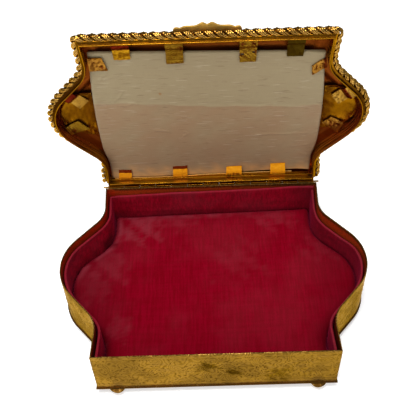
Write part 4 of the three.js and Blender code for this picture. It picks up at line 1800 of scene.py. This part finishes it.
    def plate(self) -> Piece:
        """Raises the top plate, with its stepped field.

        Returns:
            The plate, swung up.
        """
        edge = self.plan.depth / 2 - self.plate_inset
        y = np.linspace(-edge, edge, int(2 * edge / self.spacing))
        side = self.plan.side(self.plate_inset, edge, 0.3 * MM)
        half = np.interp(y, side[:, 1], side[:, 0])
        top = np.linspace(-1, 1, int(2 * self.plan.lobe_reach / self.spacing))
        share = np.concatenate([top, np.linspace(1, -1, 110)])
        shape = (len(y), len(share))
        spots = np.stack([half[:, None] * share, np.broadcast_to(y[:, None], shape)], axis=2).reshape(-1, 2)
        outline = self.plan.ring(0.0, 0.6 * MM)
        nearest, inset = nearest_on(outline, spots)
        relief = self.chased(spots, inset, travel_along(outline, closed=True)[1:][nearest])
        upper = np.tile(np.arange(len(share)) < len(top), len(y))
        raised = self.field_rise * eased(ramp(inset, self.field_inset, self.field_inset + self.field_slope))
        ease = 0.25 * MM * ramp(inset, self.plate_inset + 0.9 * MM, self.plate_inset)
        dents = 0.12 * MM * smooth_noise(spots, 50 * MM, SEED + 44)
        height = self.plate_low + raised + dents * ramp(inset, 4 * MM, 12 * MM)
        height += np.where(upper, self.sheet + relief - ease, 0.25 * relief)
        surface = np.concatenate([spots, height[:, None]], axis=1).reshape(*shape, 3)
        plate = shell_of("lid_plate_chased", surface, around=False)
        proud = np.where(upper, np.clip(0.3 + relief / (0.5 * MM), 0, 1), 0.6)
        mark(plate, "wear_and_light", by_table(plate, proud.reshape(shape), 0.5))
        mark(plate, "tint", by_table(plate, np.where(upper, 0.0, 0.9).reshape(shape)))
        # Painted shadow on the plate's underside just in front of the panel.
        panel_shadow = 1.15 * ramp(spots[:, 1], -66.4 * MM, -64.8 * MM) * ramp(spots[:, 1], -56 * MM, -58 * MM)
        mark(plate, "stain_and_shade", by_table(plate, np.where(upper, 0.0, panel_shadow).reshape(shape)))
        return self.pose.swing(plate)

    def build(self) -> None:
        """Builds and dresses the lid's shell."""
        hand_over(self.skirt(), Body.LID, SKIRT, "lid_skirt", wear_and_light=None, crease=60)
        hand_over(self.ledge(), Body.LID, LIP_PAINTED_HIGHLIGHT, wear_and_light=1.0)
        hand_over(self.plate(), Body.LID, PLATE, "lid_plate", wear_and_light=None, crease=60)


@dataclass
class RopeBorder:
    """Two strands of three rippled wires each, twisted together and laid round the lid."""

    pose: LidPose
    plan: Plan = PLAN
    height: float = RIM + 3.3 * MM
    out: float = 0.15 * MM
    corner: float = 3.4 * MM
    back_gap: float = 1.5 * MM
    lay: float = 13.3 * MM
    crown: float = 2.15 * MM
    flank: float = 1.75 * MM
    spread: float = math.radians(42)
    wire: float = 0.72 * MM
    ripple: float = 0.19 * MM
    ripple_pitch: float = 1.95 * MM
    tuck: float = 1.5 * MM

    def line(self) -> Array:
        """Traces the rope's middle up the left side, round the front and up the right side.

        Returns:
            Evenly spaced plan points.
        """
        end = self.plan.depth / 2 - self.back_gap
        front = self.plan.depth / 2 + self.out
        right = self.plan.side(-self.out, end, 0.6 * MM)
        x = self.plan.flare_x(-self.out, front)
        right = right[right[:, 1] > -front + self.corner]
        corner = ((x - self.corner, -front), (x, -front), (x, -front + self.corner))
        half = np.concatenate([curved(*np.array(corner), 10), right])
        whole = np.concatenate([(half * [-1, 1])[::-1], half])
        travel = travel_along(whole)
        even = np.linspace(0, travel[-1], int(travel[-1] / (0.42 * MM)))
        return np.stack([np.interp(even, travel, whole[:, i]) for i in (0, 1)], axis=1)

    def build(self) -> None:
        """Twists the wires, marks them and dresses the rope."""
        line = self.line()
        travel = travel_along(line)
        ahead = np.gradient(line, axis=0)
        ahead /= np.linalg.norm(ahead, axis=1)[:, None]
        aside = np.stack([ahead[:, 1], -ahead[:, 0], np.zeros(len(line))], axis=1)
        above = np.array([0.0, 0.0, 1.0])
        y = line[:, 1] / MM
        tucked = self.tuck * (ramp(y, 8, 28) * ramp(y, 64, 56))[:, None]
        middle = np.concatenate([line, self.height + tucked], axis=1)
        middle -= aside * 0.6 * tucked * np.sign(line[:, :1] * aside[:, :1])
        wires = ((-self.spread, self.flank), (0.0, self.crown), (self.spread, self.flank))
        parts = []
        for strand in (0.0, 0.5):
            for index, (offset, reach) in enumerate(wires):
                angle = offset - 2 * np.pi * (travel / self.lay + strand)
                reach = reach + self.ripple * np.sin(2 * np.pi * travel / self.ripple_pitch + 2.1 * index)
                around = np.cos(angle)[:, None] * aside + np.sin(angle)[:, None] * above
                path = middle + reach[:, None] * around
                part = tube_of("wire", path, self.wire, 8)
                points = points_of(part)
                # The merged points aren't in the order of the repeated middle: nearly all come out bright.
                rounds = len(points) // len(line)
                from_middle = np.linalg.norm(points - np.tile(middle, (rounds, 1))[: len(points)], axis=1)
                # This wear mark paints shade into the crevices between the wires and painted highlights on
                # their crests.
                mark(part, "wear_and_light", ramp(from_middle, 1.8 * MM, 2.7 * MM))
                parts.append(part)
        rope = joined("twisted_rope", parts)
        hand_over(self.pose.swing(rope), Body.LID, ROPE_WIRE, "lid_rope", wear_and_light=None, crease=80)


@dataclass
class Crest:
    """Scalloped leaf over the middle of the lid's front, embossed with ribs and a dotted ground."""

    pose: LidPose
    half_depth: float = PLAN.depth / 2
    middle: float = 0.9 * MM
    half: float = 22.4 * MM
    root: float = 75.6 * MM
    low: float = RIM + 6.2 * MM
    thick: float = 1.5 * MM
    reach: Table = (
        (0, 5.5), (1.2, 6.1), (2.4, 7.0), (3.4, 7.1), (4.6, 6.5), (6.4, 5.2), (8.5, 4.5), (11, 4.35),
        (13.5, 4.45), (15.5, 4.15), (17, 3.3), (18.1, 2.9), (19.2, 3.4), (20.4, 3.6), (21.5, 3.0),
        (22.2, 1.8), (22.4, 0.8),
    )  # fmt: skip

    def build(self) -> None:
        """Shapes the leaf, embosses it and dresses it."""
        x = np.linspace(-self.half, self.half, 150)
        tip = self.half_depth + read_off(self.reach, np.abs(x))
        face = np.linspace(0, 1, 26)
        share = np.concatenate([face, face[::-1]])
        y = -(self.root + (tip - self.root)[:, None] * share[None])
        xx = np.repeat(x[:, None], len(share), axis=1)
        from_edge = np.minimum((tip[:, None] + y), self.half - np.abs(xx))
        rib = np.cos(xx / (1.35 * MM) * (1 - 0.25 * share[None])) * 0.09 * MM
        border = 0.15 * MM * ridge(from_edge, 0.5 * MM, 0.45 * MM)
        puff = np.where(from_edge > 1.1 * MM, rib, 0) + border
        roundness = 0.35 * MM * ramp(from_edge, 0.5 * MM, 0) ** 2
        top = np.arange(len(share)) >= len(face)
        upper = self.low + self.thick - 0.35 * MM + puff - roundness
        lower = self.low - 0.6 * puff + roundness
        z = np.where(top, upper, lower)
        leaf = shell_of("crest_leaf", np.stack([xx + self.middle, y, z], axis=2), around=False)
        hand_over(self.pose.swing(leaf), Body.LID, MATTE, "crest", wear_and_light=0.6, crease=60)


@dataclass
class SilkPanel:
    """Slub silk drawn over a thin card, with creases, a fold and one small stain. Worked in millimetres."""

    pose: LidPose
    face: float = RIM + 5.8 * MM
    silk: float = 0.3 * MM
    sides: Table = (
        (-60, 79.6), (-50, 79.7), (-36, 81), (-18, 82.3), (2, 83), (24, 83), (38, 82.7), (47, 81.6),
        (57, 79.8), (74, 79.8),
    )  # fmt: skip
    fold_line: Table = (
        (-84, -13), (-60, -12.6), (-32.6, -10.2), (0, -7), (38, -5.6), (64.5, -4.4), (84, -5.8),
    )  # fmt: skip
    creases: tuple[Table, ...] = (
        ((-74.6, -36.4), (-72, -39.5), (-69.3, -41.1)),
        ((-71, -36.8), (-65, -38.6), (-59.4, -40.6)),
        ((-68, -14), (-64, -18), (-59.9, -24.5)),
        ((-63.3, -9.6), (-57.6, -10.4), (-54.5, -12.4), (-50.9, -11.6)),
        ((-80, -15.7), (-74, -14.6), (-68, -15.1)),
        ((76.8, 41.5), (73, 42.2), (70.5, 41.8)),
        ((76.3, 55.5), (73, 53.6), (70.7, 52.4)),
        ((35.4, 27.7), (46, 26.6), (60, 27.4), (73.8, 27.2)),
        ((-41, 17.8), (-34, 19.2), (-29.8, 20.3)),
        ((-18.5, 20.6), (-15.6, 22.4), (-18.8, 24.6), (-20.2, 27)),
    )

    def fold(self, x: Array) -> Array:
        """Gives y of the soft fold that crosses the silk."""
        return read_off(self.fold_line, x, 1) + 0.35 * np.sin(x / 4.1) + 0.2 * np.sin(x / 1.9 + 1)

    def half_width(self, y: Array) -> Array:
        """Gives the panel's half width at a distance from the middle of the lid's depth."""
        return read_off(self.sides, y, 1)

    @staticmethod
    def slanted(x: Array, y: Array) -> Array:
        """Gives y of a place on the panel, whose front and back edges come together towards the right."""
        return y * (1 - 0.00052 * np.where(y < 0, x, np.maximum(x - 6, 0)))

    def cover(self) -> Piece:
        """Draws the silk over the card's face and round its edges.

        Returns:
            The silk.
        """
        y = np.linspace(self.sides[0][0], self.sides[-1][0], 180)
        share = np.linspace(-1, 1, 210)
        xx = self.half_width(y)[:, None] * share[None]
        yy = np.repeat(y[:, None], len(share), axis=1)
        spots = np.stack([xx, yy], axis=2)
        proud = 0.1 * smooth_noise(spots, 42.0, SEED + 50)
        proud += 0.035 * smooth_noise(spots * [0.35, 1.6], 6.0, SEED + 51)
        for line in self.creases:
            crease = Stroke(np.array(line), 2.6, 1.4, 1.0)
            lift = np.zeros(spots.shape[0] * spots.shape[1])
            crease.raise_on(spots.reshape(-1, 2), lift)
            proud += 0.32 * lift.reshape(xx.shape) ** 2
        past = yy - self.fold(xx)
        proud += 0.22 * np.exp(-((past / 1.6) ** 2)) - 0.12 * np.exp(-(((past + 2.6) / 1.8) ** 2))
        corner = ramp(np.abs(xx), 70, 80) * ramp(yy, 66, 74)
        proud += corner * np.where(xx > 0, 1.3, 0.5)
        proud += 1.6 * ramp(yy, 52, 72) ** 1.5 * ramp(xx, 25, -45)
        proud += 0.9 * ramp(xx, 68, 80) * ramp(yy, -50, -60)
        from_edge = np.minimum(np.minimum(yy - y[0], y[-1] - yy), self.half_width(yy) - np.abs(xx))
        turned = 0.55 * (1 - dome(1 - ramp(from_edge, 0, 0.8)))
        surface = np.stack([xx, self.slanted(xx, yy), self.face / MM - proud + turned], axis=2) * MM
        surface = np.pad(surface, ((1, 1), (1, 1), (0, 0)), mode="edge")
        lip = self.face + 1.35 * MM
        surface[0, :, 2] = surface[-1, :, 2] = lip
        surface[:, 0, 2] = surface[:, -1, 2] = lip
        silk = sheet_of("silk_cover", surface)
        points = points_of(silk) / MM
        x, y = points[:, :2].T
        # Past the fold the silk takes the tan: painted reflected light from the velvet.
        tan = ramp(y - self.fold(x), -0.6, 0.6)
        mark(silk, "wear_and_light", tan * (0.8 + 0.2 * smooth_noise(points[:, :2], 30.0, SEED + 52)))
        mark(silk, "stain_and_shade", 0.85 * np.clip(1.3 - np.hypot(x + 34.1, (y + 21.5) / 1.5) / 0.95, 0, 1))
        # Towards the back edge, painted warm light reflected from the brass.
        to_edge = self.sides[-1][0] - y + 3 * smooth_noise(points[:, :2], 14.0, SEED + 53)
        mark(silk, "tint", 0.6 * ramp(to_edge, 15, 0) ** 1.4)
        with editing(silk):
            bpy.ops.mesh.flip_normals()
        with_modifier(silk, "SOLIDIFY", thickness=self.silk, offset=-1)
        return self.pose.swing(silk)

    def board(self) -> Piece:
        """Cuts the card behind the silk.

        Returns:
            The card.
        """
        y, half = np.array(self.sides).T
        right = np.stack([half - 0.7, np.clip(y, y[0] + 0.7, y[-1] - 0.7)], axis=1)
        outline = np.concatenate([right, (right * [-1, 1])[::-1]])
        outline = np.stack([outline[:, 0], self.slanted(outline[:, 0], outline[:, 1])], axis=1) * MM
        low, middle, high = np.array([0.75, 1.6, 1.8]) * MM + self.face
        levels = [(outline, low), (outline, middle), (outline * 0.997, high)]
        return self.pose.swing(stacked("card_board", levels))

    def build(self) -> None:
        """Builds and dresses the panel."""
        silk, board = self.cover(), self.board()
        hand_over(board, Body.LID, CARD, "silk_card")
        hand_over(silk, Body.LID, SILK, "silk_card", wear_and_light=None, crease=70)


@dataclass
class LobePlates:
    """Thin round plate with a rolled edge in each of the lid's two lobes."""

    pose: LidPose
    centre: float = 86.5 * MM
    radius: float = 22.8 * MM
    chord: float = 83.3 * MM
    low: float = RIM + 7.5 * MM
    thick: float = 0.6 * MM

    def plate(self, name: str, sign: int) -> Piece:
        """Cuts one plate, dishes it and rolls its edge.

        Args:
            name: Name of the plate.
            sign: -1 for the left one and 1 for the right one.

        Returns:
            The plate.
        """
        turn = np.linspace(-math.pi / 2, math.pi / 2, 70)[1:-1]
        y = self.radius * np.sin(turn)
        reach = np.sqrt(self.radius**2 - y**2)
        start = np.maximum(self.chord, self.centre - reach)
        stop = self.centre + reach
        face = np.linspace(0, 1, 40)
        share = np.concatenate([face, face[::-1]])
        x = start[:, None] + (stop - start)[:, None] * share[None]
        yy = np.repeat(y[:, None], len(share), axis=1)
        from_edge = self.radius - np.hypot(x - self.centre, yy)
        roll = ridge(from_edge, 0.6 * MM, 0.6 * MM) * ramp(yy, 15 * MM, 10 * MM)
        lift = 1.2 * MM * eased(roll)
        dents = 0.22 * MM * smooth_noise(np.stack([x, yy], axis=2), 18 * MM, SEED + 60 + sign)
        under = np.arange(len(share)) < len(face)
        z = self.low - lift + np.minimum(dents, 0.1 * MM) + np.where(under, 0.0, self.thick * 0.6)
        z = np.where(under, z, np.minimum(z, RIM + 8.1 * MM))
        plate = shell_of(name, np.stack([sign * x, yy, z], axis=2), around=False)
        points = points_of(plate)
        x, y = np.abs(points[:, 0]), points[:, 1]
        edge = self.radius - np.hypot(x - self.centre, y)
        bright = ridge(edge, 0.7 * MM, 0.9 * MM) * ramp(y, 15 * MM, 10 * MM)
        mark(plate, "wear_and_light", 0.5 + 0.5 * bright)
        # The left plate is darker and redder away from its rolled edge.
        dull = (sign < 0) * (1 - bright)
        # Painted shade: darker and redder towards the panel, where the lid's plate lies in shadow.
        inner = ramp(x, 94 * MM, 84 * MM) * (1 + 0.3 * smooth_noise(points, 12 * MM, SEED + 64))
        mark(plate, "tint", np.maximum.reduce([0.45 * ramp(y, 4 * MM, 18 * MM), 0.12 * dull, 0.3 * inner]))
        mark(plate, "stain_and_shade", np.maximum(0.4 * dull, 0.6 * inner))
        return self.pose.swing(plate)

    def build(self) -> None:
        """Builds and dresses both plates."""
        for side, sign in (("left", -1), ("right", 1)):
            plate = self.plate(f"round_plate_{side}", sign)
            hand_over(plate, Body.LID, LOBE_GOLD, f"lobe_plate_{side}", wear_and_light=None, crease=60)


class TabFace(Enum):
    """How the sheet of a tab was worked before it was cut."""

    PLAIN = "plain"
    RINGED = "ringed"
    PUNCHED = "punched"
    LEAFY = "leafy"
    CRUMPLED = "crumpled"


@dataclass(frozen=True)
class Bend:
    """Side view of a tab.

    Root and tip are heights above the rim. The tab steps from one to the other between the start and stop
    shares of its length, and it bulges by so much.
    """

    root: float
    tip: float
    start: float
    stop: float
    bulge: float = 0.0


@dataclass(frozen=True)
class Tab:
    """One bent strip of scrap sheet that holds the panel or a round plate.

    The corners are its root's two and its tip's two, in order round it, in the shut lid's plan. Red is the
    part of its length that is tinted red. Spots and holes are distances from its root and middle line.
    """

    name: str
    corners: Table
    face: TabFace
    finish: Brass
    bend: Bend
    red: tuple[float, float] = (2.0, 2.0)
    spots: Table = ()
    holes: Table = ()


OVER_PANEL = Bend(2.6, 4.2, 0.29, 0.44)


@dataclass
class Tabs:
    """The fourteen tabs inside the lid, bent from the skirt over what they hold. Worked in millimetres."""

    pose: LidPose
    thick: float = 0.5
    grain: float = 0.4
    hole: float = 1.0
    sharp: float = 30.0
    tabs: tuple[Tab, ...] = (
        Tab("tab_front_1", ((-62.9, -74), (-51.1, -74), (-51.1, -57.2), (-62.4, -57)),
            TabFace.CRUMPLED, TAB_GOLD, OVER_PANEL, (0.13, 0.5)),
        Tab("tab_front_2", ((-27.4, -74), (-15.6, -74), (-15.7, -52.2), (-27.5, -51.8)),
            TabFace.RINGED, TAB_OLIVE, OVER_PANEL, (0.0, 0.1), ((6.5, 4.3), (8.8, 4.8))),
        Tab("tab_front_3", ((21.7, -74), (33.5, -74), (33.1, -51.6), (21.9, -51.4)),
            TabFace.PUNCHED, TAB_OLIVE, OVER_PANEL,
            (0.0, 0.08), ((4.6, -3.6), (4.4, 3.4), (15.4, -4.6), (13.6, 4.4)), ((15.4, -4.0), (13.6, 3.7))),
        Tab("tab_front_4", ((53.3, -74), (65.1, -74), (64.6, -55.2), (53.5, -55.6)),
            TabFace.PLAIN, TAB_DARK_PAINTED_REFLECTION, OVER_PANEL),
        Tab("tab_corner_left", ((-80, -59.3), (-80, -47.7), (-67.6, -47), (-70.4, -59.2)),
            TabFace.LEAFY, TAB_BRONZE, Bend(3.6, 4.2, 0.0, 0.5), (2.0, 2.0), ((8.0, 2.5),)),
        Tab("tab_corner_right", ((80.7, -54), (82.1, -45.1), (72.3, -36.6), (71.4, -45.6)),
            TabFace.LEAFY, TAB_BRONZE, Bend(3.6, 4.4, 0.0, 0.5), (0.0, 0.22)),
        Tab("tab_back_1", ((-64.2, 73.9), (-74.6, 73.9), (-73.9, 64), (-63.6, 64.4)),
            TabFace.CRUMPLED, TAB_ORANGE_PAINTED_REFLECTION, Bend(2.6, 3.9, 0.0, 0.9, 0.7), (0.7, 1.2)),
        Tab("tab_back_2", ((-18.8, 73.9), (-30.6, 73.9), (-30.2, 62.2), (-18.6, 61.8)),
            TabFace.CRUMPLED, TAB_ORANGE_PAINTED_REFLECTION, Bend(2.8, 4.5, 0.0, 0.9, 0.9), (0.76, 1.2)),
        Tab("tab_back_3", ((25.2, 73.9), (12.6, 73.9), (12.8, 64.9), (25.2, 64.4)),
            TabFace.CRUMPLED, TAB_ORANGE_PAINTED_REFLECTION,
            Bend(3.0, 5.3, 0.0, 0.9, 1.2), (0.96, 1.2), ((1.5, -3.0), (2.0, 0.0), (1.2, 4.0))),
        Tab("tab_back_4", ((60.6, 73.9), (48.4, 73.9), (48.2, 63), (60, 62.4)),
            TabFace.PLAIN, TAB_ORANGE_PAINTED_REFLECTION, Bend(3.0, 5.4, 0.0, 0.9, 1.2), (0.97, 1.2)),
        Tab("tab_lobe_left_front", ((-103.8, -20.9), (-97.4, -27.6), (-85.6, -15.8), (-93.4, -7.6)),
            TabFace.PLAIN, TAB_PALE, Bend(3.8, 6.2, 0.34, 0.48), (-0.2, 0.46)),
        Tab("tab_lobe_left_back", ((-104.3, 20), (-107.3, 11.8), (-96.9, 5.4), (-89.6, 14.7)),
            TabFace.PUNCHED, TAB_OLIVE,
            Bend(5.0, 6.0, 0.0, 0.4), (2.0, 2.0), ((4.0, -1.5),), ((3.4, -2.9),)),
        Tab("tab_lobe_right_front", ((99.6, -25.6), (106.4, -15.6), (94.4, -4.4), (88.2, -14.2)),
            TabFace.CRUMPLED, TAB_PALE, Bend(3.8, 6.2, 0.3, 0.48), (0.22, 0.5)),
        Tab("tab_lobe_right_back", ((101, 15.8), (97.6, 27), (84.8, 15.6), (90.9, 9.5)),
            TabFace.CRUMPLED, TAB_BRONZE,
            Bend(5.2, 6.1, 0.0, 0.4), (2.0, 2.0), ((6.0, 1.0), (7.5, 3.0), (4.0, -2.0), (9.5, 0.5))),
    )

    def worked(self, tab: Tab, u: Array, v: Array, length: float) -> Array:
        """Gives how far each place of a tab stands towards the open side of the lid.

        Args:
            tab: The tab.
            u: Distance from its root.
            v: Distance from its middle line.
            length: The tab's length.

        Returns:
            Heights in millimetres.
        """
        seed = SEED + int(abs(tab.corners[0][0]) * 7 + length)
        places = np.stack([u, v], axis=-1)
        uneven = 0.12 * smooth_noise(places, 9.0, seed)
        if tab.face is TabFace.RINGED:
            away = np.hypot(np.mod(u, 3.7) - 1.85, np.mod(v + 5.55, 3.7) - 1.85)
            rings = ridge(away, 1.05, 0.5)
            return uneven + 0.3 * rings + 0.25 * ramp(away, 0.5, 0)
        if tab.face is TabFace.PUNCHED:
            dots = np.hypot(np.mod(u, 1.5) - 0.75, np.mod(v + 6, 1.5) - 0.75)
            return uneven + 0.2 * ramp(dots, 0.55, 0) + 0.1 * smooth_noise(places, 2.2, seed + 1)
        if tab.face is TabFace.LEAFY:
            middle = u - length * 0.55
            swirl = np.sin(1.5 * np.hypot(middle, v - 1.0) + 2.0 * np.arctan2(v - 1.0, middle))
            return uneven + 0.22 * np.clip(swirl, -0.2, 1) + 0.1 * smooth_noise(places, 3.0, seed + 1)
        if tab.face is TabFace.CRUMPLED:
            ridged = 1 - np.abs(smooth_noise(places, 6.5, seed + 2, 2))
            return 1.2 * uneven + 0.18 * np.clip(ridged, 0, 1)
        return uneven

    def bend(self, tab: Tab) -> Piece:
        """Bends one tab and sets it in its place.

        Args:
            tab: The tab.

        Returns:
            The tab, swung up with the lid.
        """
        near, far, tip_far, tip_near = (np.array(corner, float) for corner in tab.corners)
        length = float(np.linalg.norm((tip_near + tip_far - near - far) / 2))
        width = float(np.linalg.norm(far - near))
        share = np.linspace(0, 1, max(int(length / self.grain), 8))
        aside = np.linspace(0, 1, int(width / self.grain))
        ss, aa = np.meshgrid(share, aside, indexing="ij")
        uu, vv = ss * length, (aa - 0.5) * width
        plan = (1 - ss)[..., None] * (near + aa[..., None] * (far - near))
        plan = plan + ss[..., None] * (tip_near + aa[..., None] * (tip_far - tip_near))
        rise = eased(ramp(ss, tab.bend.start, tab.bend.stop))
        level = RIM / MM + tab.bend.root + (tab.bend.tip - tab.bend.root) * rise
        level = level - tab.bend.bulge * np.sin(np.pi * ss)
        level = level - self.worked(tab, uu, vv, length) * ramp(uu, 0, 3)
        piece = sheet_of(f"bent_{tab.name}", np.concatenate([plan, level[..., None]], axis=2) * MM)
        fold = (tab.bend.start + tab.bend.stop) / 2
        hollow = np.exp(-(((ss - fold) / 0.06) ** 2)) * (tab.bend.stop < 0.6)
        mark(piece, "wear_and_light", by_table(piece, 0.8 - 0.5 * hollow))
        start, stop = tab.red
        reddened = np.clip((ss - start) * self.sharp, 0, 1) * np.clip((stop - ss) * self.sharp, 0, 1)
        ragged = 0.5 * smooth_noise(np.stack([uu, vv], axis=2), 3.0, SEED + 70)
        for u, v in tab.spots:
            spot = np.clip(1.6 - np.hypot(uu - u, vv - v) / 1.4 + ragged, 0, 1)
            reddened = np.maximum(reddened, 0.9 * spot)
        mark(piece, "tint", by_table(piece, reddened))
        if tab.holes:
            self.pierce(piece, uu, vv, tab.holes)
        if sum(polygon.normal.z for polygon in piece.data.polygons) > 0:
            with editing(piece):
                bpy.ops.mesh.flip_normals()
        with_modifier(piece, "SOLIDIFY", thickness=self.thick * MM, offset=-1)
        return self.pose.swing(piece)

    def pierce(self, piece: Piece, along: Array, aside: Array, holes: Table) -> None:
        """Cuts the small holes left in a tab's sheet.

        Args:
            piece: The sheet, before it has a thickness.
            along: Distance of each point from the root.
            aside: Distance of each point from the middle line.
            holes: Middles of the holes, as distances along and aside.
        """
        u, v = along.T.ravel(), aside.T.ravel()
        with editing(piece):
            bpy.ops.mesh.select_all(action="DESELECT")
        for polygon in piece.data.polygons:
            corners = list(polygon.vertices)
            middle = (u[corners].mean(), v[corners].mean())
            middle = (u[corners].mean(), v[corners].mean())
            polygon.select = any(math.dist(middle, hole) < self.hole for hole in holes)
        with editing(piece, everything=False):
            bpy.ops.mesh.delete(type="FACE")

    def build(self) -> None:
        """Bends and dresses every tab."""
        for tab in self.tabs:
            hand_over(self.bend(tab), Body.LID, tab.finish, tab.name, wear_and_light=None, crease=60)


# ---------------------------------------------------------------- studio


@dataclass
class Studio:
    """Pale floor, soft lights and the camera."""

    floor_z: float = -6.6 * MM
    lens: float = 63.579
    place: tuple[float, float, float] = (1.047 * MM, -329.908 * MM, 483.351 * MM)
    aim: tuple[float, float, float] = (41.053, 1.425, -1.045)

    def floor(self) -> None:
        """Lays the pale floor."""
        place = (0, 0, self.floor_z - 0.1 * MM)
        floor = added("pale_floor", bpy.ops.mesh.primitive_plane_add, size=8, location=place)
        floor.data.materials.append(dressed("pale floor", self.paint))

    @staticmethod
    def paint(_: Wiring) -> dict[str, object]:
        """Lists the floor's pale paint.

        Args:
            _: Wiring of the material, which needs no more nodes.

        Returns:
            What the shader's inputs take.
        """
        grey, white = (0.93, 0.93, 0.93), (1.0, 1.0, 1.0)
        return {
            "Base Color": grey, "Roughness": 0.85, "Specular IOR Level": 0.2, "Emission Color": white,
            "Emission Strength": 0.45,
        }  # fmt: skip

    def lamp(self, name: str, place: tuple[float, float, float], size: float, power: float) -> None:
        """Hangs a soft square lamp that looks at the casket.

        Args:
            name: Name of the lamp.
            place: Where it hangs.
            size: Length of its side.
            power: Its power in watts.
        """
        light = bpy.data.lights.new(name, "AREA")
        light.size = size
        light.energy = power
        lamp = bpy.data.objects.new(name, light)
        bpy.context.collection.objects.link(lamp)
        lamp.location = place
        lamp.rotation_euler = (Vector((0, 0, 0.05)) - Vector(place)).to_track_quat("-Z", "Y").to_euler()

    def build(self) -> None:
        """Sets up the floor, lights, world and camera."""
        self.floor()
        self.lamp("overhead", (-0.08, -0.15, 1.2), 0.5, 14)
        self.lamp("front left", (-0.9, -1.1, 0.8), 0.6, 7)
        self.lamp("front right", (1.0, -0.9, 0.9), 0.4, 1)
        world = bpy.data.worlds.new("studio air")
        world.use_nodes = True
        world.node_tree.nodes["Background"].inputs[0].default_value = (1, 1, 1, 1)
        world.node_tree.nodes["Background"].inputs[1].default_value = 0.25
        bpy.context.scene.world = world
        camera = bpy.data.objects.new("camera", bpy.data.cameras.new("camera"))
        bpy.context.collection.objects.link(camera)
        camera.data.lens = self.lens
        camera.data.sensor_width = 36
        camera.location = self.place
        camera.rotation_euler = Euler([math.radians(a) for a in self.aim], "XYZ")
        bpy.context.scene.camera = camera
        bpy.context.scene.view_settings.view_transform = "Standard"


def main() -> None:
    """Builds the whole casket in order."""
    logging.basicConfig(level=logging.INFO, format="%(name)s: %(message)s")
    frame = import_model()
    pose = LidPose.from_frame(frame)
    for part in (
        Studio(), Casing(), Lining(), PinHinge(pose), LidShell(pose), RopeBorder(pose), Crest(pose),
        SilkPanel(pose), LobePlates(pose), Tabs(pose),
    ):  # fmt: skip
        LOG.info("building %s", type(part).__name__)
        part.build()


if __name__ == "__main__":
    main()
